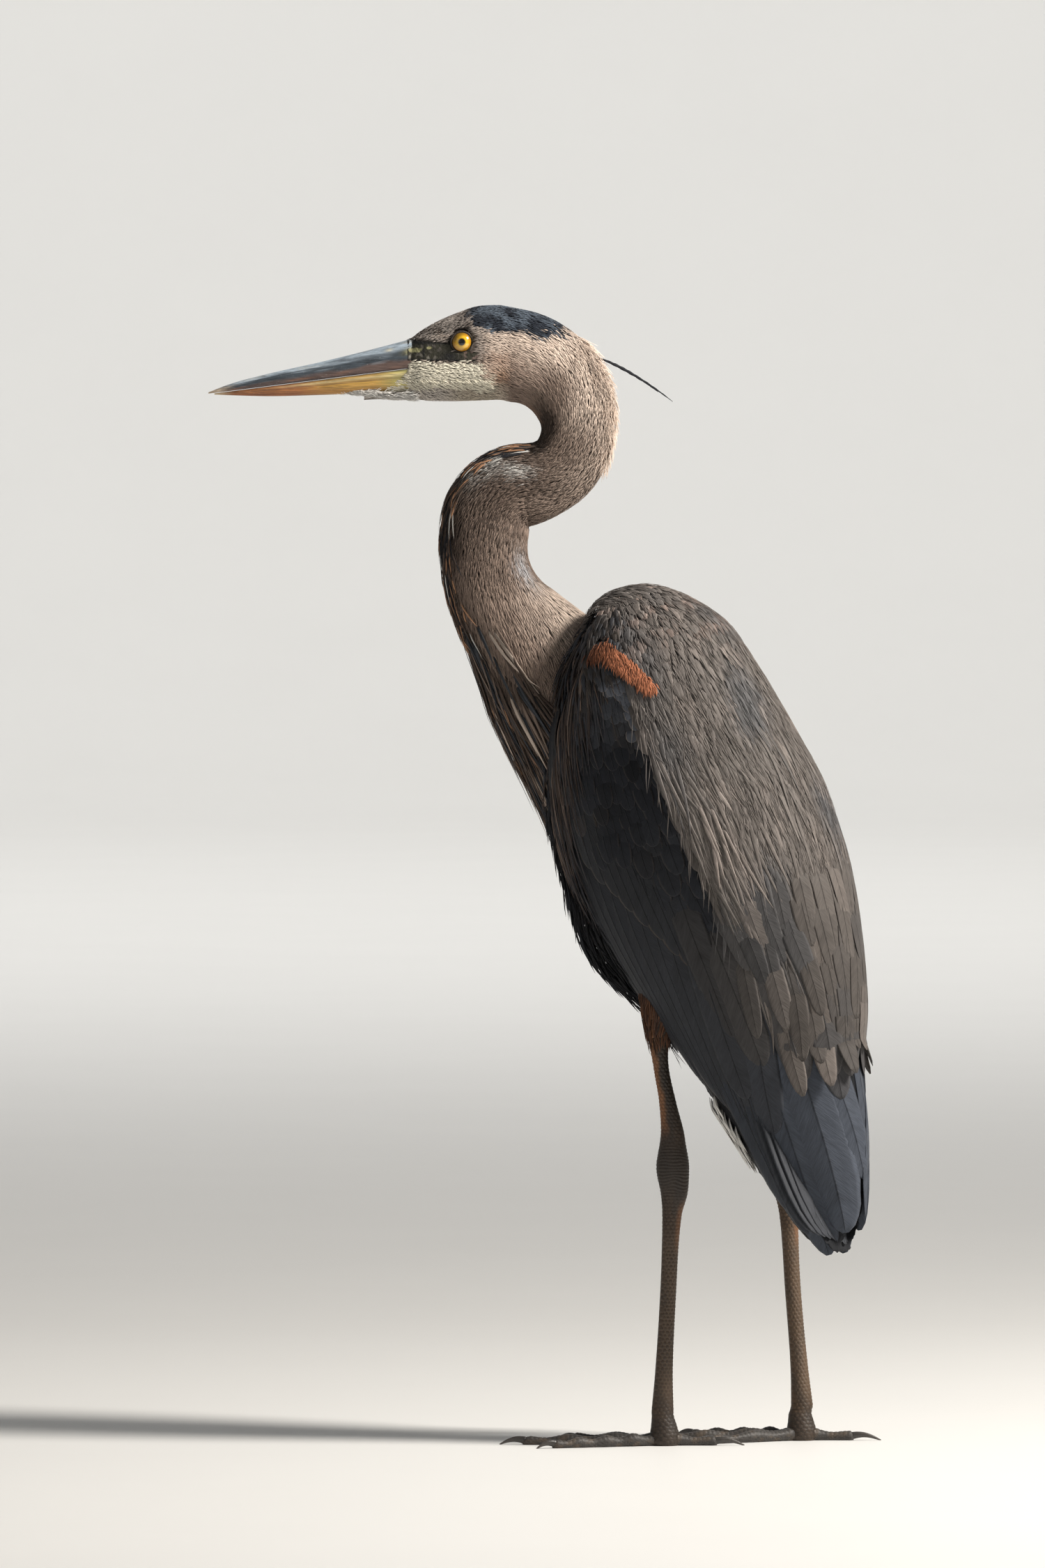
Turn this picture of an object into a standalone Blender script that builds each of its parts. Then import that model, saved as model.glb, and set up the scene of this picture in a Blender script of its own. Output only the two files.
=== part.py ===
"""Great blue heron, life size: a still museum model that stands on both feet with its neck in an S.

Units are metres and +Z is up. The bird looks along -X. Its body is turned BODY_YAW away from the
head's line, so its back shows a little from the -Y side. Sizes marked "mm" are scaled by MM.

The trunk, tail, wings and cape are lofts round one body axis. A place on them is (s, angle): s runs
along the axis, tailward from the body's centre, and the angle runs from the back (0) past the
bird's left side (90) to the belly (180). Outer pieces are cut by inner ones, GAP apart.
"""

import math

import bmesh
import bpy
import numpy as np
from mathutils import Matrix, Vector

MM = 0.001
GAP = 0.3 * MM  # between pieces that touch
SIDES = {"left": 1.0, "right": -1.0}

# ---- Where the body is and how it is turned ----
BODY_CENTRE = Vector((0.0, 0.0, 0.442))
BODY_YAW = math.radians(28.0)
BODY_PITCH = math.radians(20.0)  # of the body's axis from the vertical
FORWARD = Vector((-math.cos(BODY_YAW), math.sin(BODY_YAW), 0.0))
TAILWARD = -FORWARD * math.sin(BODY_PITCH) - Vector((0, 0, 1)) * math.cos(BODY_PITCH)
BACKWARD = -FORWARD * math.cos(BODY_PITCH) + Vector((0, 0, 1)) * math.sin(BODY_PITCH)
LEFTWARD = Vector((-math.sin(BODY_YAW), -math.cos(BODY_YAW), 0.0))

# ---- Body sections: (s, depth to the back, depth to the belly, half width), mm ----
TRUNK = (
    (-154, 47, 34, 40),
    (-130, 51, 44, 44),
    (-100, 61, 68, 54),
    (-60, 72, 89, 60),
    (-20, 81, 99, 64),
    (20, 89, 103, 65),
    (60, 90, 105, 62),
    (88, 88, 99, 57),
    (113, 84, 84, 51),
    (140, 79, 66, 43),
    (180, 64, 48, 30),
    (222, 50, 36, 20),
)
WING = (
    (-128, 42, 42, 45),
    (-100, 62, 64, 61),
    (-60, 74, 84, 70),
    (-20, 83, 94, 76),
    (20, 90, 97, 77),
    (60, 91, 92, 75),
    (100, 88, 82, 69),
    (140, 84, 69, 60),
    (180, 74, 57, 49),
    (215, 62, 45, 40),
    (250, 54, 35, 32),
    (280, 45, 28, 24),
    (307, 35, 20, 16),
    (326, 26, 12, 10),
)
CAPE = (
    (-154, 56, 40, 48),
    (-130, 59, 44, 54),
    (-100, 69, 64, 66),
    (-60, 80, 84, 74),
    (-20, 89, 92, 80),
    (20, 97, 96, 81),
    (60, 98, 92, 79),
    (100, 95, 82, 73),
    (140, 88, 68, 62),
    (180, 77, 55, 51),
    (196, 70, 50, 46),
)
# Edges of the folded wing and of the cape, as (s mm, angle in degrees) from the back.
WING_TOP_EDGE = ((-128, 62), (-60, 50), (60, 50), (120, 40), (180, 14), (230, 4), (285, 4), (326, 52))
WING_LOW_EDGE = ((-128, 84), (-90, 118), (-40, 142), (0, 152), (250, 151), (296, 135), (326, 84))
CAPE_EDGE = ((-154, 100), (-110, 72), (-76, 74), (40, 73), (84, 66), (120, 50), (160, 32), (196, 8))
CAPE_SINK = 0.72  # the cape's underside as a share of its outer form, before the trunk is cut out of it
WING_SPLITS = (-40, 110, 222)  # where the wing's lengths part, mm
TAIL = ((140, 0, 9, 22), (200, 0, 8, 30), (260, 2, 6, 33), (310, 6, 4, 30), (331, 9, 2.5, 16))
VENT = ((112, -46, 20, 26), (150, -38, 18, 26), (200, -27, 13, 22), (240, -20, 8, 15), (264, -15, 3, 6))

# ---- Neck: a path of bends from the nape down into the chest ----
HEAD_PLANE_Y = 46 * MM  # the head and neck stand in this plane
NECK_START = Vector((-114.2 * MM, 0.0, 748.2 * MM))
NECK_HEADING = -10.7
# (length mm, turn in degrees)
NECK_BENDS = ((88, -104.0), (19, -35.4), (23, -20.0), (37, 69.0), (74, 50.0), (86, -6.0), (88, -13.0))
NECK_GIRTH = (  # (distance mm, half depth, half width)
    (0, 32, 17.5),
    (30, 29.5, 16.5),
    (50, 27.5, 15.7),
    (73, 24.5, 15.2),
    (92, 25, 15.6),
    (110, 26, 16.3),
    (128, 28.3, 17.3),
    (146, 29.8, 18.3),
    (166, 30.3, 19.2),
    (191, 30, 20),
    (210, 31, 21.5),
    (229, 33.8, 24.5),
    (248, 38, 29.5),
    (267, 43.5, 34.5),
    (286, 49, 39),
    (327, 54, 46),
    (360, 55, 50),
    (388, 50, 46),
    (406, 38, 36),
    (414, 22, 22),
)
NECK_JOINTS = (0, 54, 108, 162, 219, 327, 414)  # where the neck's lengths part, mm
NECK_POINTS = 14  # round each ring of the neck and of the head
NECK_NAMES = ("neck_nape", "neck_upper", "neck_bend", "neck_lower", "neck_base", "breast")

# ---- Head: sections across its length, (x, top z, bottom z, half width), mm ----
HEAD = (
    (-189.5, 760.5, 720, 10.5),
    (-184, 765, 718.5, 12.5),
    (-172, 772, 717.5, 14.8),
    (-158, 778, 717.5, 16.5),
    (-142, 783, 718, 18),
    (-128, 783.5, 718.5, 18.3),
)
EYE_CENTRE = (-154.7, 758.2)
EYE_OFFSET = 9.6  # from the head's midplane
EYE_RADIUS = 9.0
BILL_BASE = (-190.2, 740.0)  # where the mandibles part, at the feathers
BILL_TIP = (-330.0, 722.3)
# Bill sections: (share of the length, height, half width), mm
UPPER_BILL = ((0, 20, 10), (0.2, 16.2, 8.6), (0.45, 12, 6.6), (0.7, 8.6, 4.6), (0.9, 4.6, 2.4), (1, 0.9, 0.7))
LOWER_BILL = (
    (0, 17, 9.6),
    (0.2, 13.5, 8.2),
    (0.45, 10.4, 6.2),
    (0.7, 6.8, 4.2),
    (0.88, 3.0, 2.2),
    (0.97, 0.9, 0.7),
)
# The chin's feathers: (x, top z, bottom z, half width), mm
CHIN = (
    (-250, 727.2, 724.6, 2.4),
    (-225, 728.5, 722.0, 4.4),
    (-205, 728.5, 719.5, 6.0),
    (-190.1, 728, 718.8, 7.4),
)
PLUMES = {  # (start x, y from the head's plane, z, length, droop, slant in y)
    "crest_plume_left": ((-60, -2.6, 747), 51, 20, -4),
    "crest_plume_right": ((-61, 2.6, 747.5), 42, 14, 5),
}

# ---- Legs: stations down each leg, (x, z, half depth, half width), mm ----
FOOT_PLACE = {"left": (-15, -32), "right": (80, 18)}
LEG_STEPS = {
    "left": (
        (-2, 350, 28, 20),
        (-12, 312, 20, 15),
        (-19, 278, 7.4, 6.8),
        (-17.2, 258, 5.2, 4.8),
        (-13, 236, 5.8, 5.4),
        (-9.5, 210, 8.6, 7.0),
        (-9.5, 191, 11.4, 8.6),
        (-8.5, 174, 9.4, 7.4),
        (-10, 158, 6.6, 5.8),
        (-12.6, 105, 5.4, 4.8),
        (-15.5, 50, 6.0, 5.2),
        (-16.5, 22, 7.6, 6.4),
    ),
    "right": (
        (-2, 330, 28, 20),
        (6, 292, 20, 15),
        (20, 258, 9.0, 7.0),
        (30, 242, 6.6, 5.0),
        (43, 224, 7.0, 5.4),
        (59, 205, 9.6, 7.0),
        (67, 190, 11.4, 8.6),
        (69.5, 174, 9.4, 7.4),
        (71, 158, 6.6, 5.8),
        (74, 105, 5.4, 4.8),
        (78.5, 50, 6.0, 5.2),
        (80.5, 22, 7.6, 6.4),
    ),
}
HIP_Y = {"left": -24, "right": 35}
LEG_POINTS = 10  # round each ring of a leg
LEG_PARTS = (("thigh", 0, 2), ("shank", 2, 5), ("heel", 5, 8), ("tarsus", 8, 11))
TOES = {  # (angle from the foot's line, length, joints), the claw follows
    "inner": (27, 74, 2),
    "middle": (0, 98, 3),
    "outer": (-24, 82, 4),
    "hind": (176, 36, 1),
}
FOOT_TURN = {"left": -4.0, "right": 3.0}
CLAW_LENGTH = {"inner": 14, "middle": 16, "outer": 12, "hind": 19}
TOE_RADIUS = 4.6
HUB_RADIUS = 10.5

COLOURS = {  # name: (colour, roughness)
    "plumage_grey": ((0.20, 0.21, 0.24), 0.75),
    "plumage_fawn": ((0.36, 0.30, 0.27), 0.8),
    "plumage_slate": ((0.07, 0.08, 0.10), 0.7),
    "plumage_white": ((0.75, 0.73, 0.70), 0.8),
    "face": ((0.42, 0.40, 0.36), 0.7),
    "bill_slate": ((0.16, 0.19, 0.24), 0.35),
    "bill_ochre": ((0.62, 0.36, 0.10), 0.35),
    "iris": ((0.85, 0.55, 0.06), 0.08),
    "leg": ((0.16, 0.10, 0.07), 0.6),
    "claw": ((0.05, 0.045, 0.04), 0.4),
}


WHOLE = {}  # each piece's mesh before it is cut, by name


# ---- Small tools ----
def clear_scene():
    for obj in list(bpy.data.objects):
        bpy.data.objects.remove(obj)


def new_collection(name):
    made = bpy.data.collections.new(name)
    bpy.context.scene.collection.children.link(made)
    return made


def material(name):
    found = bpy.data.materials.get(name)
    if found:
        return found
    made = bpy.data.materials.new(name)
    made.use_nodes = True
    shader = made.node_tree.nodes["Principled BSDF"]
    colour, roughness = COLOURS[name]
    shader.inputs["Base Color"].default_value = (*colour, 1.0)
    shader.inputs["Roughness"].default_value = roughness
    shader.inputs["Metallic"].default_value = 0.0
    return made


def along(table, x):
    """Each column of a table of stations at x, by a smooth curve that never swings past a station."""
    rows = np.array(table, float)
    xs, ys = rows[:, 0], rows[:, 1:]
    steps = np.diff(ys, axis=0) / np.diff(xs)[:, None]
    slopes = np.zeros_like(ys)
    slopes[0], slopes[-1] = steps[0], steps[-1]
    slopes[1:-1] = np.where(steps[1:] * steps[:-1] > 0, (steps[1:] + steps[:-1]) / 2, 0)
    limit = 3 * np.minimum(abs(steps[1:]), abs(steps[:-1]))
    slopes[1:-1] = np.clip(slopes[1:-1], -limit, limit)
    x = min(max(x, xs[0]), xs[-1])
    i = min(int(np.searchsorted(xs, x, side="right")) - 1, len(xs) - 2)
    h = xs[i + 1] - xs[i]
    t = (x - xs[i]) / h
    a, b = 2 * t**3 - 3 * t**2 + 1, t**3 - 2 * t**2 + t
    c, d = -2 * t**3 + 3 * t**2, t**3 - t**2
    return a * ys[i] + b * h * slopes[i] + c * ys[i + 1] + d * h * slopes[i + 1]


def spaced(start, end, steps):
    return [start + (end - start) * i / steps for i in range(steps + 1)]


def end_spaced(start, end, steps):
    """Places that crowd towards both ends, for forms that close there."""
    return [start + (end - start) * (1 - math.cos(math.pi * i / steps)) / 2 for i in range(steps + 1)]


def finish_mesh(name, mesh_builder, finish, collection, smooth_angle=40):
    bmesh.ops.triangulate(mesh_builder, faces=mesh_builder.faces)
    bmesh.ops.recalc_face_normals(mesh_builder, faces=mesh_builder.faces)
    data = bpy.data.meshes.new(name)
    mesh_builder.to_mesh(data)
    mesh_builder.free()
    data.shade_smooth()
    data.set_sharp_from_angle(angle=math.radians(smooth_angle))
    data.materials.append(material(finish))
    WHOLE[name] = data.copy()
    obj = bpy.data.objects.new(name, data)
    collection.objects.link(obj)
    return obj


def loft(name, rings, finish, collection, smooth_angle=40):
    """A closed form through rings of equally many points, with a flat or domed cap at each end."""
    builder = bmesh.new()
    rows = [[builder.verts.new(p) for p in ring] for ring in rings]
    count = len(rows[0])
    for low, high in zip(rows, rows[1:]):
        for i in range(count):
            j = (i + 1) % count
            builder.faces.new((low[i], low[j], high[j], high[i]))
    builder.faces.new(reversed(rows[0]))
    builder.faces.new(rows[-1])
    return finish_mesh(name, builder, finish, collection, smooth_angle)


def sheet(name, outer, inner, finish, collection):
    """A closed curved slab between two grids of points of the same size."""
    builder = bmesh.new()
    top = [[builder.verts.new(p) for p in row] for row in outer]
    base = [[builder.verts.new(p) for p in row] for row in inner]
    last, width = len(top) - 1, len(top[0]) - 1
    for i in range(last):
        for j in range(width):
            builder.faces.new((top[i][j], top[i + 1][j], top[i + 1][j + 1], top[i][j + 1]))
            builder.faces.new((base[i][j + 1], base[i + 1][j + 1], base[i + 1][j], base[i][j]))
    rim = [(i, 0) for i in range(last)] + [(last, j) for j in range(width)]
    rim += [(i, width) for i in range(last, 0, -1)] + [(0, j) for j in range(width, 0, -1)]
    for (i, j), (k, m) in zip(rim, rim[1:] + rim[:1]):
        builder.faces.new((top[i][j], base[i][j], base[k][m], top[k][m]))
    return finish_mesh(name, builder, finish, collection)


def whole_copy(obj, name, cutters):
    """A copy of a piece as it was before it was cut, which a Boolean takes more surely than a cut one."""
    data = WHOLE.get(obj.name, obj.data).copy()
    made = bpy.data.objects.new(name, data)
    made.matrix_world = obj.matrix_world
    cutters.objects.link(made)
    made.hide_render = True
    made.display_type = "WIRE"
    return made


def keep_largest(obj):
    """Drops the crumbs that a cut can leave."""
    builder = bmesh.new()
    builder.from_mesh(obj.data)
    left, islands = set(builder.faces), []
    while left:
        island, queue = [], [left.pop()]
        while queue:
            face = queue.pop()
            island.append(face)
            for edge in face.edges:
                for other in edge.link_faces:
                    if other in left:
                        left.discard(other)
                        queue.append(other)
        islands.append(island)
    islands.sort(key=lambda island: sum(face.calc_area() for face in island))
    for island in islands[:-1]:
        bmesh.ops.delete(builder, geom=island, context="FACES")
    builder.to_mesh(obj.data)
    builder.free()


def boxes_meet(one, other):
    spans = []
    for obj in (one, other):
        corners = [obj.matrix_world @ v.co for v in obj.data.vertices]
        spans.append([(min(c[i] for c in corners) - GAP, max(c[i] for c in corners) + GAP) for i in range(3)])
    return all(a[0] < b[1] and b[0] < a[1] for a, b in zip(*spans))


def cut(obj, others, cutters, gap=GAP):
    """Takes the other pieces, grown by the gap, out of this one."""
    bpy.context.view_layer.update()
    for other in others:
        if not boxes_meet(obj, other):
            continue
        grown = whole_copy(other, f"cutter_{obj.name}_{other.name}", cutters)
        swell = grown.modifiers.new("gap", "DISPLACE")
        swell.strength = gap
        swell.mid_level = 0.0
        boolean = obj.modifiers.new(f"cut_{other.name}", "BOOLEAN")
        boolean.operation = "DIFFERENCE"
        boolean.solver = "EXACT"
        boolean.object = grown
        bpy.context.view_layer.update()
        evaluated = obj.evaluated_get(bpy.context.evaluated_depsgraph_get())
        data = bpy.data.meshes.new_from_object(evaluated)
        obj.modifiers.clear()
        obj.data = data
        keep_largest(obj)
    obj.data.shade_smooth()
    obj.data.set_sharp_from_angle(angle=math.radians(40))
    return obj


# ---- The body ----
def body_place(s, back, left):
    return BODY_CENTRE + (TAILWARD * s + BACKWARD * back + LEFTWARD * left) * MM


def body_point(table, s, angle, depth=0.0):
    """A point on the form that the table gives, sunk by depth (mm) along its normal."""
    back, belly, wide = along(table, s)
    turn = math.radians(angle)
    deep = back if math.cos(turn) > 0 else belly
    normal = Vector((math.cos(turn) / deep, math.sin(turn) / wide)).normalized()
    return body_place(s, deep * math.cos(turn) - depth * normal.x, wide * math.sin(turn) - depth * normal.y)


def make_trunk(parts):
    rings = []
    first, last = TRUNK[0][0], TRUNK[-1][0]
    top_cap, low_cap = 52.0, 60.0
    for s in end_spaced(first + 0.2, last - 0.2, 15):
        cap = min(1.0, (s - first) / top_cap)
        tail = min(1.0, (last - s) / low_cap)
        shrink = math.sqrt(1 - (1 - cap) ** 2) * math.sqrt(1 - (1 - tail) ** 2)
        back, belly, wide = along(TRUNK, s) * shrink
        ring = []
        for i in range(18):
            turn = math.tau * i / 18
            deep = back if math.cos(turn) > 0 else belly
            ring.append(body_place(s, deep * math.cos(turn), wide * math.sin(turn)))
        rings.append(ring)
    return loft("trunk", rings, "plumage_slate", parts)


def edge_angle(table, s):
    return float(along(table, s)[0])


def make_cape(parts, cutters, trunk):
    """The mantle and the long shoulder plumes, one cape over the back and the tops of the wings."""
    outer, inner = [], []
    first, last = CAPE[0][0], CAPE[-1][0]
    for s in end_spaced(first + 0.4, last, 12):
        cap = min(1.0, (s - first) / 52.0)
        shrink = math.sqrt(1 - (1 - cap) ** 2)
        edge = edge_angle(CAPE_EDGE, s)
        wide_row, low_row = [], []
        for angle in spaced(-edge, edge, 11):
            back, belly, wide = along(CAPE, s) * shrink
            turn = math.radians(angle)
            deep = back if math.cos(turn) > 0 else belly
            back_part, side_part = deep * math.cos(turn), wide * math.sin(turn)
            wide_row.append(body_place(s, back_part, side_part))
            low_row.append(body_place(s + 6 * (1 - shrink), CAPE_SINK * back_part, CAPE_SINK * side_part))
        outer.append(wide_row)
        inner.append(low_row)
    return cut(sheet("cape", outer, inner, "plumage_grey", parts), [trunk], cutters)


def wing_depth(s):
    """How thick the wing's slab is made: into the trunk where it lies on it, thin beyond it."""
    return float(along(((-128, 14), (100, 20), (170, 14), (215, 8), (260, 6), (300, 4), (326, 2.2)), s)[0])


def make_wing(side, parts, cutters, under):
    """A folded wing in four lengths: its shoulder, its coverts, its long inner plumes and its tip."""
    names = ("shoulder", "coverts", "secondaries", "tip")
    first, last = WING[0][0], WING[-1][0]
    ends = (first, *WING_SPLITS, last)
    made = []
    for name, start, end in zip(names, ends, ends[1:]):
        outer, inner = [], []
        begin = start + (GAP / MM if start != first else 0)
        for s in spaced(begin, end, max(4, int((end - start) / 20))):
            high, low = edge_angle(WING_TOP_EDGE, s), edge_angle(WING_LOW_EDGE, s)
            angles = [a * SIDES[side] for a in spaced(high, low, 7)]
            outer.append([body_point(WING, s, a) for a in angles])
            inner.append([body_point(WING, s, a, wing_depth(s)) for a in angles])
        piece = sheet(f"wing_{side}_{name}", outer, inner, "plumage_grey", parts)
        made.append(cut(piece, under, cutters))
    return made


def flat_loft(name, table, finish, parts, points=12):
    """A flattened tapering form along the body's axis: (s, centre to the back, half depth, half width)."""
    rings = []
    for s in spaced(table[0][0], table[-1][0], 7):
        centre, deep, wide = along(table, s)
        rings.append(
            [
                body_place(s, centre + deep * math.cos(t), wide * math.sin(t))
                for t in (math.tau * i / points for i in range(points))
            ]
        )
    return loft(name, rings, finish, parts)


# ---- The neck and head ----
def neck_path():
    """[(distance, place, heading in degrees)] down the neck, a step a millimetre."""
    place, heading, distance = NECK_START.copy(), NECK_HEADING, 0.0
    steps = [(0.0, place.copy(), heading)]
    for length, turn in NECK_BENDS:
        for _ in range(length):
            heading += turn / length
            turned = math.radians(heading - turn / length / 2)
            place = place + Vector((math.cos(turned), 0, math.sin(turned))) * MM
            distance += 1.0
            steps.append((distance, place.copy(), heading))
    return steps


def neck_ring(path, distance):
    index = min(int(distance), len(path) - 2)
    part = distance - index
    place = path[index][1].lerp(path[index + 1][1], part)
    heading = math.radians(path[index][2] + (path[index + 1][2] - path[index][2]) * part)
    up = Vector((-math.sin(heading), 0, math.cos(heading)))
    deep, wide = along(NECK_GIRTH, distance)
    inward = HEAD_PLANE_Y - 4 * MM * max(0.0, (distance - 260) / 154)
    centre = Vector((place.x, inward, place.z))
    ring = []
    for i in range(NECK_POINTS):
        turn = math.tau * i / NECK_POINTS
        ring.append(centre + up * deep * MM * math.cos(turn) + Vector((0, wide * MM * math.sin(turn), 0)))
    return ring


def make_neck(parts, cutters, under):
    path = neck_path()
    made = []
    for name, start, end in zip(NECK_NAMES, NECK_JOINTS, NECK_JOINTS[1:]):
        rings = [neck_ring(path, d) for d in spaced(start + GAP / MM, end, 6)]
        made.append(loft(name, rings, "plumage_fawn", parts))
    for piece in made[-2:]:
        cut(piece, under, cutters, 2 * GAP)
    return made


def make_head(parts, cutters, eyes):
    rings = []
    for x in spaced(HEAD[0][0], HEAD[-1][0], 7):
        top, bottom, wide = along(HEAD, x)
        centre, deep = (top + bottom) / 2, (top - bottom) / 2
        ring = []
        for i in range(NECK_POINTS):
            turn = math.tau * i / NECK_POINTS
            narrow = 1 - 0.22 * max(0.0, -math.cos(turn)) ** 2
            ring.append(
                Vector((x, 0, centre + deep * math.cos(turn))) * MM
                + Vector((0, HEAD_PLANE_Y + wide * narrow * MM * math.sin(turn), 0))
            )
        rings.append(ring)
    rings.append(neck_ring(neck_path(), 0.0))
    return cut(loft("head", rings, "face", parts), eyes, cutters)


def make_eye(side, parts):
    bpy.ops.mesh.primitive_uv_sphere_add(segments=12, ring_count=7, radius=EYE_RADIUS * MM)
    eye = bpy.context.active_object
    eye.name = f"eye_{side}"
    eye.data.name = eye.name
    eye.rotation_euler = (math.radians(90), 0, 0)
    eye.location = (EYE_CENTRE[0] * MM, HEAD_PLANE_Y - SIDES[side] * EYE_OFFSET * MM, EYE_CENTRE[1] * MM)
    eye.data.shade_smooth()
    eye.data.materials.append(material("iris"))
    for owner in list(eye.users_collection):
        owner.objects.unlink(eye)
    parts.objects.link(eye)
    return eye


def bill_ring(share, high, wide, up):
    """Half a flattened oval: its flat side lies on the line where the mandibles meet."""
    start, tip = Vector((BILL_BASE[0], 0, BILL_BASE[1])), Vector((BILL_TIP[0], 0, BILL_TIP[1]))
    centre = start.lerp(tip, share) * MM + Vector((0, HEAD_PLANE_Y, up * GAP / 2))
    ring = []
    for i in range(11):
        turn = math.pi * i / 10
        rise = high * math.sin(turn) ** 0.8
        ring.append(centre + Vector((0, wide * math.cos(turn) * MM, up * rise * MM)))
    return ring


def make_bill(name, table, up, finish, parts):
    shares = [0.0, 0.1, 0.2, 0.32, 0.45, 0.58, 0.7, 0.8, 0.9, table[-1][0]]
    rings = [bill_ring(share, *along(table, share), up) for share in shares]
    return loft(name, rings, finish, parts, smooth_angle=60)


def make_chin(parts, under, cutters):
    rings = []
    for x in spaced(CHIN[0][0], CHIN[-1][0], 4):
        top, bottom, wide = along(CHIN, x)
        centre, deep = (top + bottom) / 2, (top - bottom) / 2
        rings.append(
            [
                Vector((x * MM, HEAD_PLANE_Y + wide * MM * math.sin(t), (centre + deep * math.cos(t)) * MM))
                for t in (math.tau * i / 10 for i in range(10))
            ]
        )
    return cut(loft("chin", rings, "plumage_white", parts), under, cutters)


def make_plume(name, parts, under, cutters):
    (x, y, z), length, droop, slant = PLUMES[name]
    rings = []
    for share in spaced(0, 1, 6):
        fat = (1.7 - 1.4 * share) * MM
        centre = Vector((x + length * share, 0, z - droop * share - 10 * share**2)) * MM
        centre += Vector((0, HEAD_PLANE_Y + (y + slant * share) * MM, 0))
        turns = [math.tau * i / 6 for i in range(6)]
        rings.append([centre + Vector((0, math.cos(t), math.sin(t))) * fat for t in turns])
    return cut(loft(name, rings, "plumage_slate", parts), under, cutters)


# ---- Legs and feet ----
def leg_ring(side, place):
    """A level ring round the leg; place counts stations from the hip, with parts of a station."""
    steps = LEG_STEPS[side]
    x, z, deep, wide = along([(i, *row) for i, row in enumerate(steps)], place)
    foot_y = FOOT_PLACE[side][1]
    y = foot_y + (HIP_Y[side] - foot_y) * max(0.0, (z - 22) / 378)
    return [
        Vector((x + deep * math.cos(t), y + wide * math.sin(t), z)) * MM
        for t in (math.tau * i / LEG_POINTS for i in range(LEG_POINTS))
    ]


def make_leg(side, parts, cutters, under):
    made = {}
    finishes = {"thigh": "plumage_slate", "shank": "leg", "heel": "leg", "tarsus": "leg"}
    for name, start, end in LEG_PARTS:
        begin = start if start == 0 else start + 0.01
        stations = spaced(begin, end, 2 * (end - start) + (2 if name == "heel" else 0))
        made[name] = loft(f"leg_{side}_{name}", [leg_ring(side, s) for s in stations], finishes[name], parts)
    for name in ("thigh", "shank"):
        cut(made[name], under, cutters)


def flat_ring(centre, aside, radius, drop, points):
    """A round section across a toe, flattened where it meets the floor."""
    ring = []
    for i in range(points):
        turn = math.tau * (i + 0.5) / points
        point = centre + aside * radius * math.cos(turn) + Vector((0, 0, drop * math.sin(turn)))
        point.z = max(point.z, 0.0)
        ring.append(point)
    return ring


def make_toe(side, toe, parts):
    angle, length, joints = TOES[toe]
    turn = math.radians(180 + FOOT_TURN[side] - angle * SIDES[side])
    ahead = Vector((math.cos(turn), math.sin(turn), 0))
    aside = Vector((-ahead.y, ahead.x, 0))
    hub = Vector((FOOT_PLACE[side][0], FOOT_PLACE[side][1], 0)) * MM
    start = HUB_RADIUS * MM + GAP
    rings = []
    for share in spaced(0, 1, 2 * joints + 2):
        bulge = 1 + 0.16 * math.cos(math.tau * share * joints)
        radius = TOE_RADIUS * (1 - 0.36 * share) * bulge * MM
        centre = hub + ahead * (start + (length * MM - start) * share)
        centre.z = radius * 0.84
        rings.append(flat_ring(centre, aside, radius, radius, 8))
    toe_solid = loft(f"foot_{side}_toe_{toe}", rings, "leg", parts)
    claw = []
    reach = CLAW_LENGTH[toe] * MM
    for share in spaced(0, 1, 4):
        radius = (2.5 * (1 - share) + 0.35) * MM
        arch = 2.6 * MM * math.sin(math.pi * min(1.0, share * 0.9 + 0.1)) + 2.0 * MM * (1 - share)
        centre = hub + ahead * (length * MM + GAP + reach * share)
        centre.z = max(arch, radius * 0.8)
        claw.append(flat_ring(centre, aside, radius * 0.75, radius, 6))
    loft(f"foot_{side}_claw_{toe}", claw, "claw", parts)
    return toe_solid


def make_foot(side, parts):
    """The hub where the toes meet, from the floor up to the tarsus."""
    hub = Vector((FOOT_PLACE[side][0], FOOT_PLACE[side][1], 0)) * MM
    rings = []
    for height, radius, shift in ((0, 9.4, 0), (3, 10.4, 0), (8, 10.0, 0), (13, 8.9, -0.4), (18, 7.9, -1.0)):
        rings.append(
            [
                hub + Vector((shift + radius * math.cos(t), radius * 0.92 * math.sin(t), height)) * MM
                for t in (math.tau * i / LEG_POINTS for i in range(LEG_POINTS))
            ]
        )
    top = leg_ring(side, 11)
    rings.append([p - Vector((0, 0, GAP)) for p in top])
    return loft(f"foot_{side}_hub", rings, "leg", parts)


def centre_on_floor(parts):
    """Puts the origin on the floor under the middle of the whole bird's box."""
    bpy.context.view_layer.update()
    corners = [obj.matrix_world @ Vector(c) for obj in parts.objects for c in obj.bound_box]
    low = [min(c[i] for c in corners) for i in range(3)]
    high = [max(c[i] for c in corners) for i in range(3)]
    shift = Vector((-(low[0] + high[0]) / 2, -(low[1] + high[1]) / 2, -low[2]))
    for obj in parts.objects:
        obj.location += shift
    bpy.context.view_layer.update()


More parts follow.
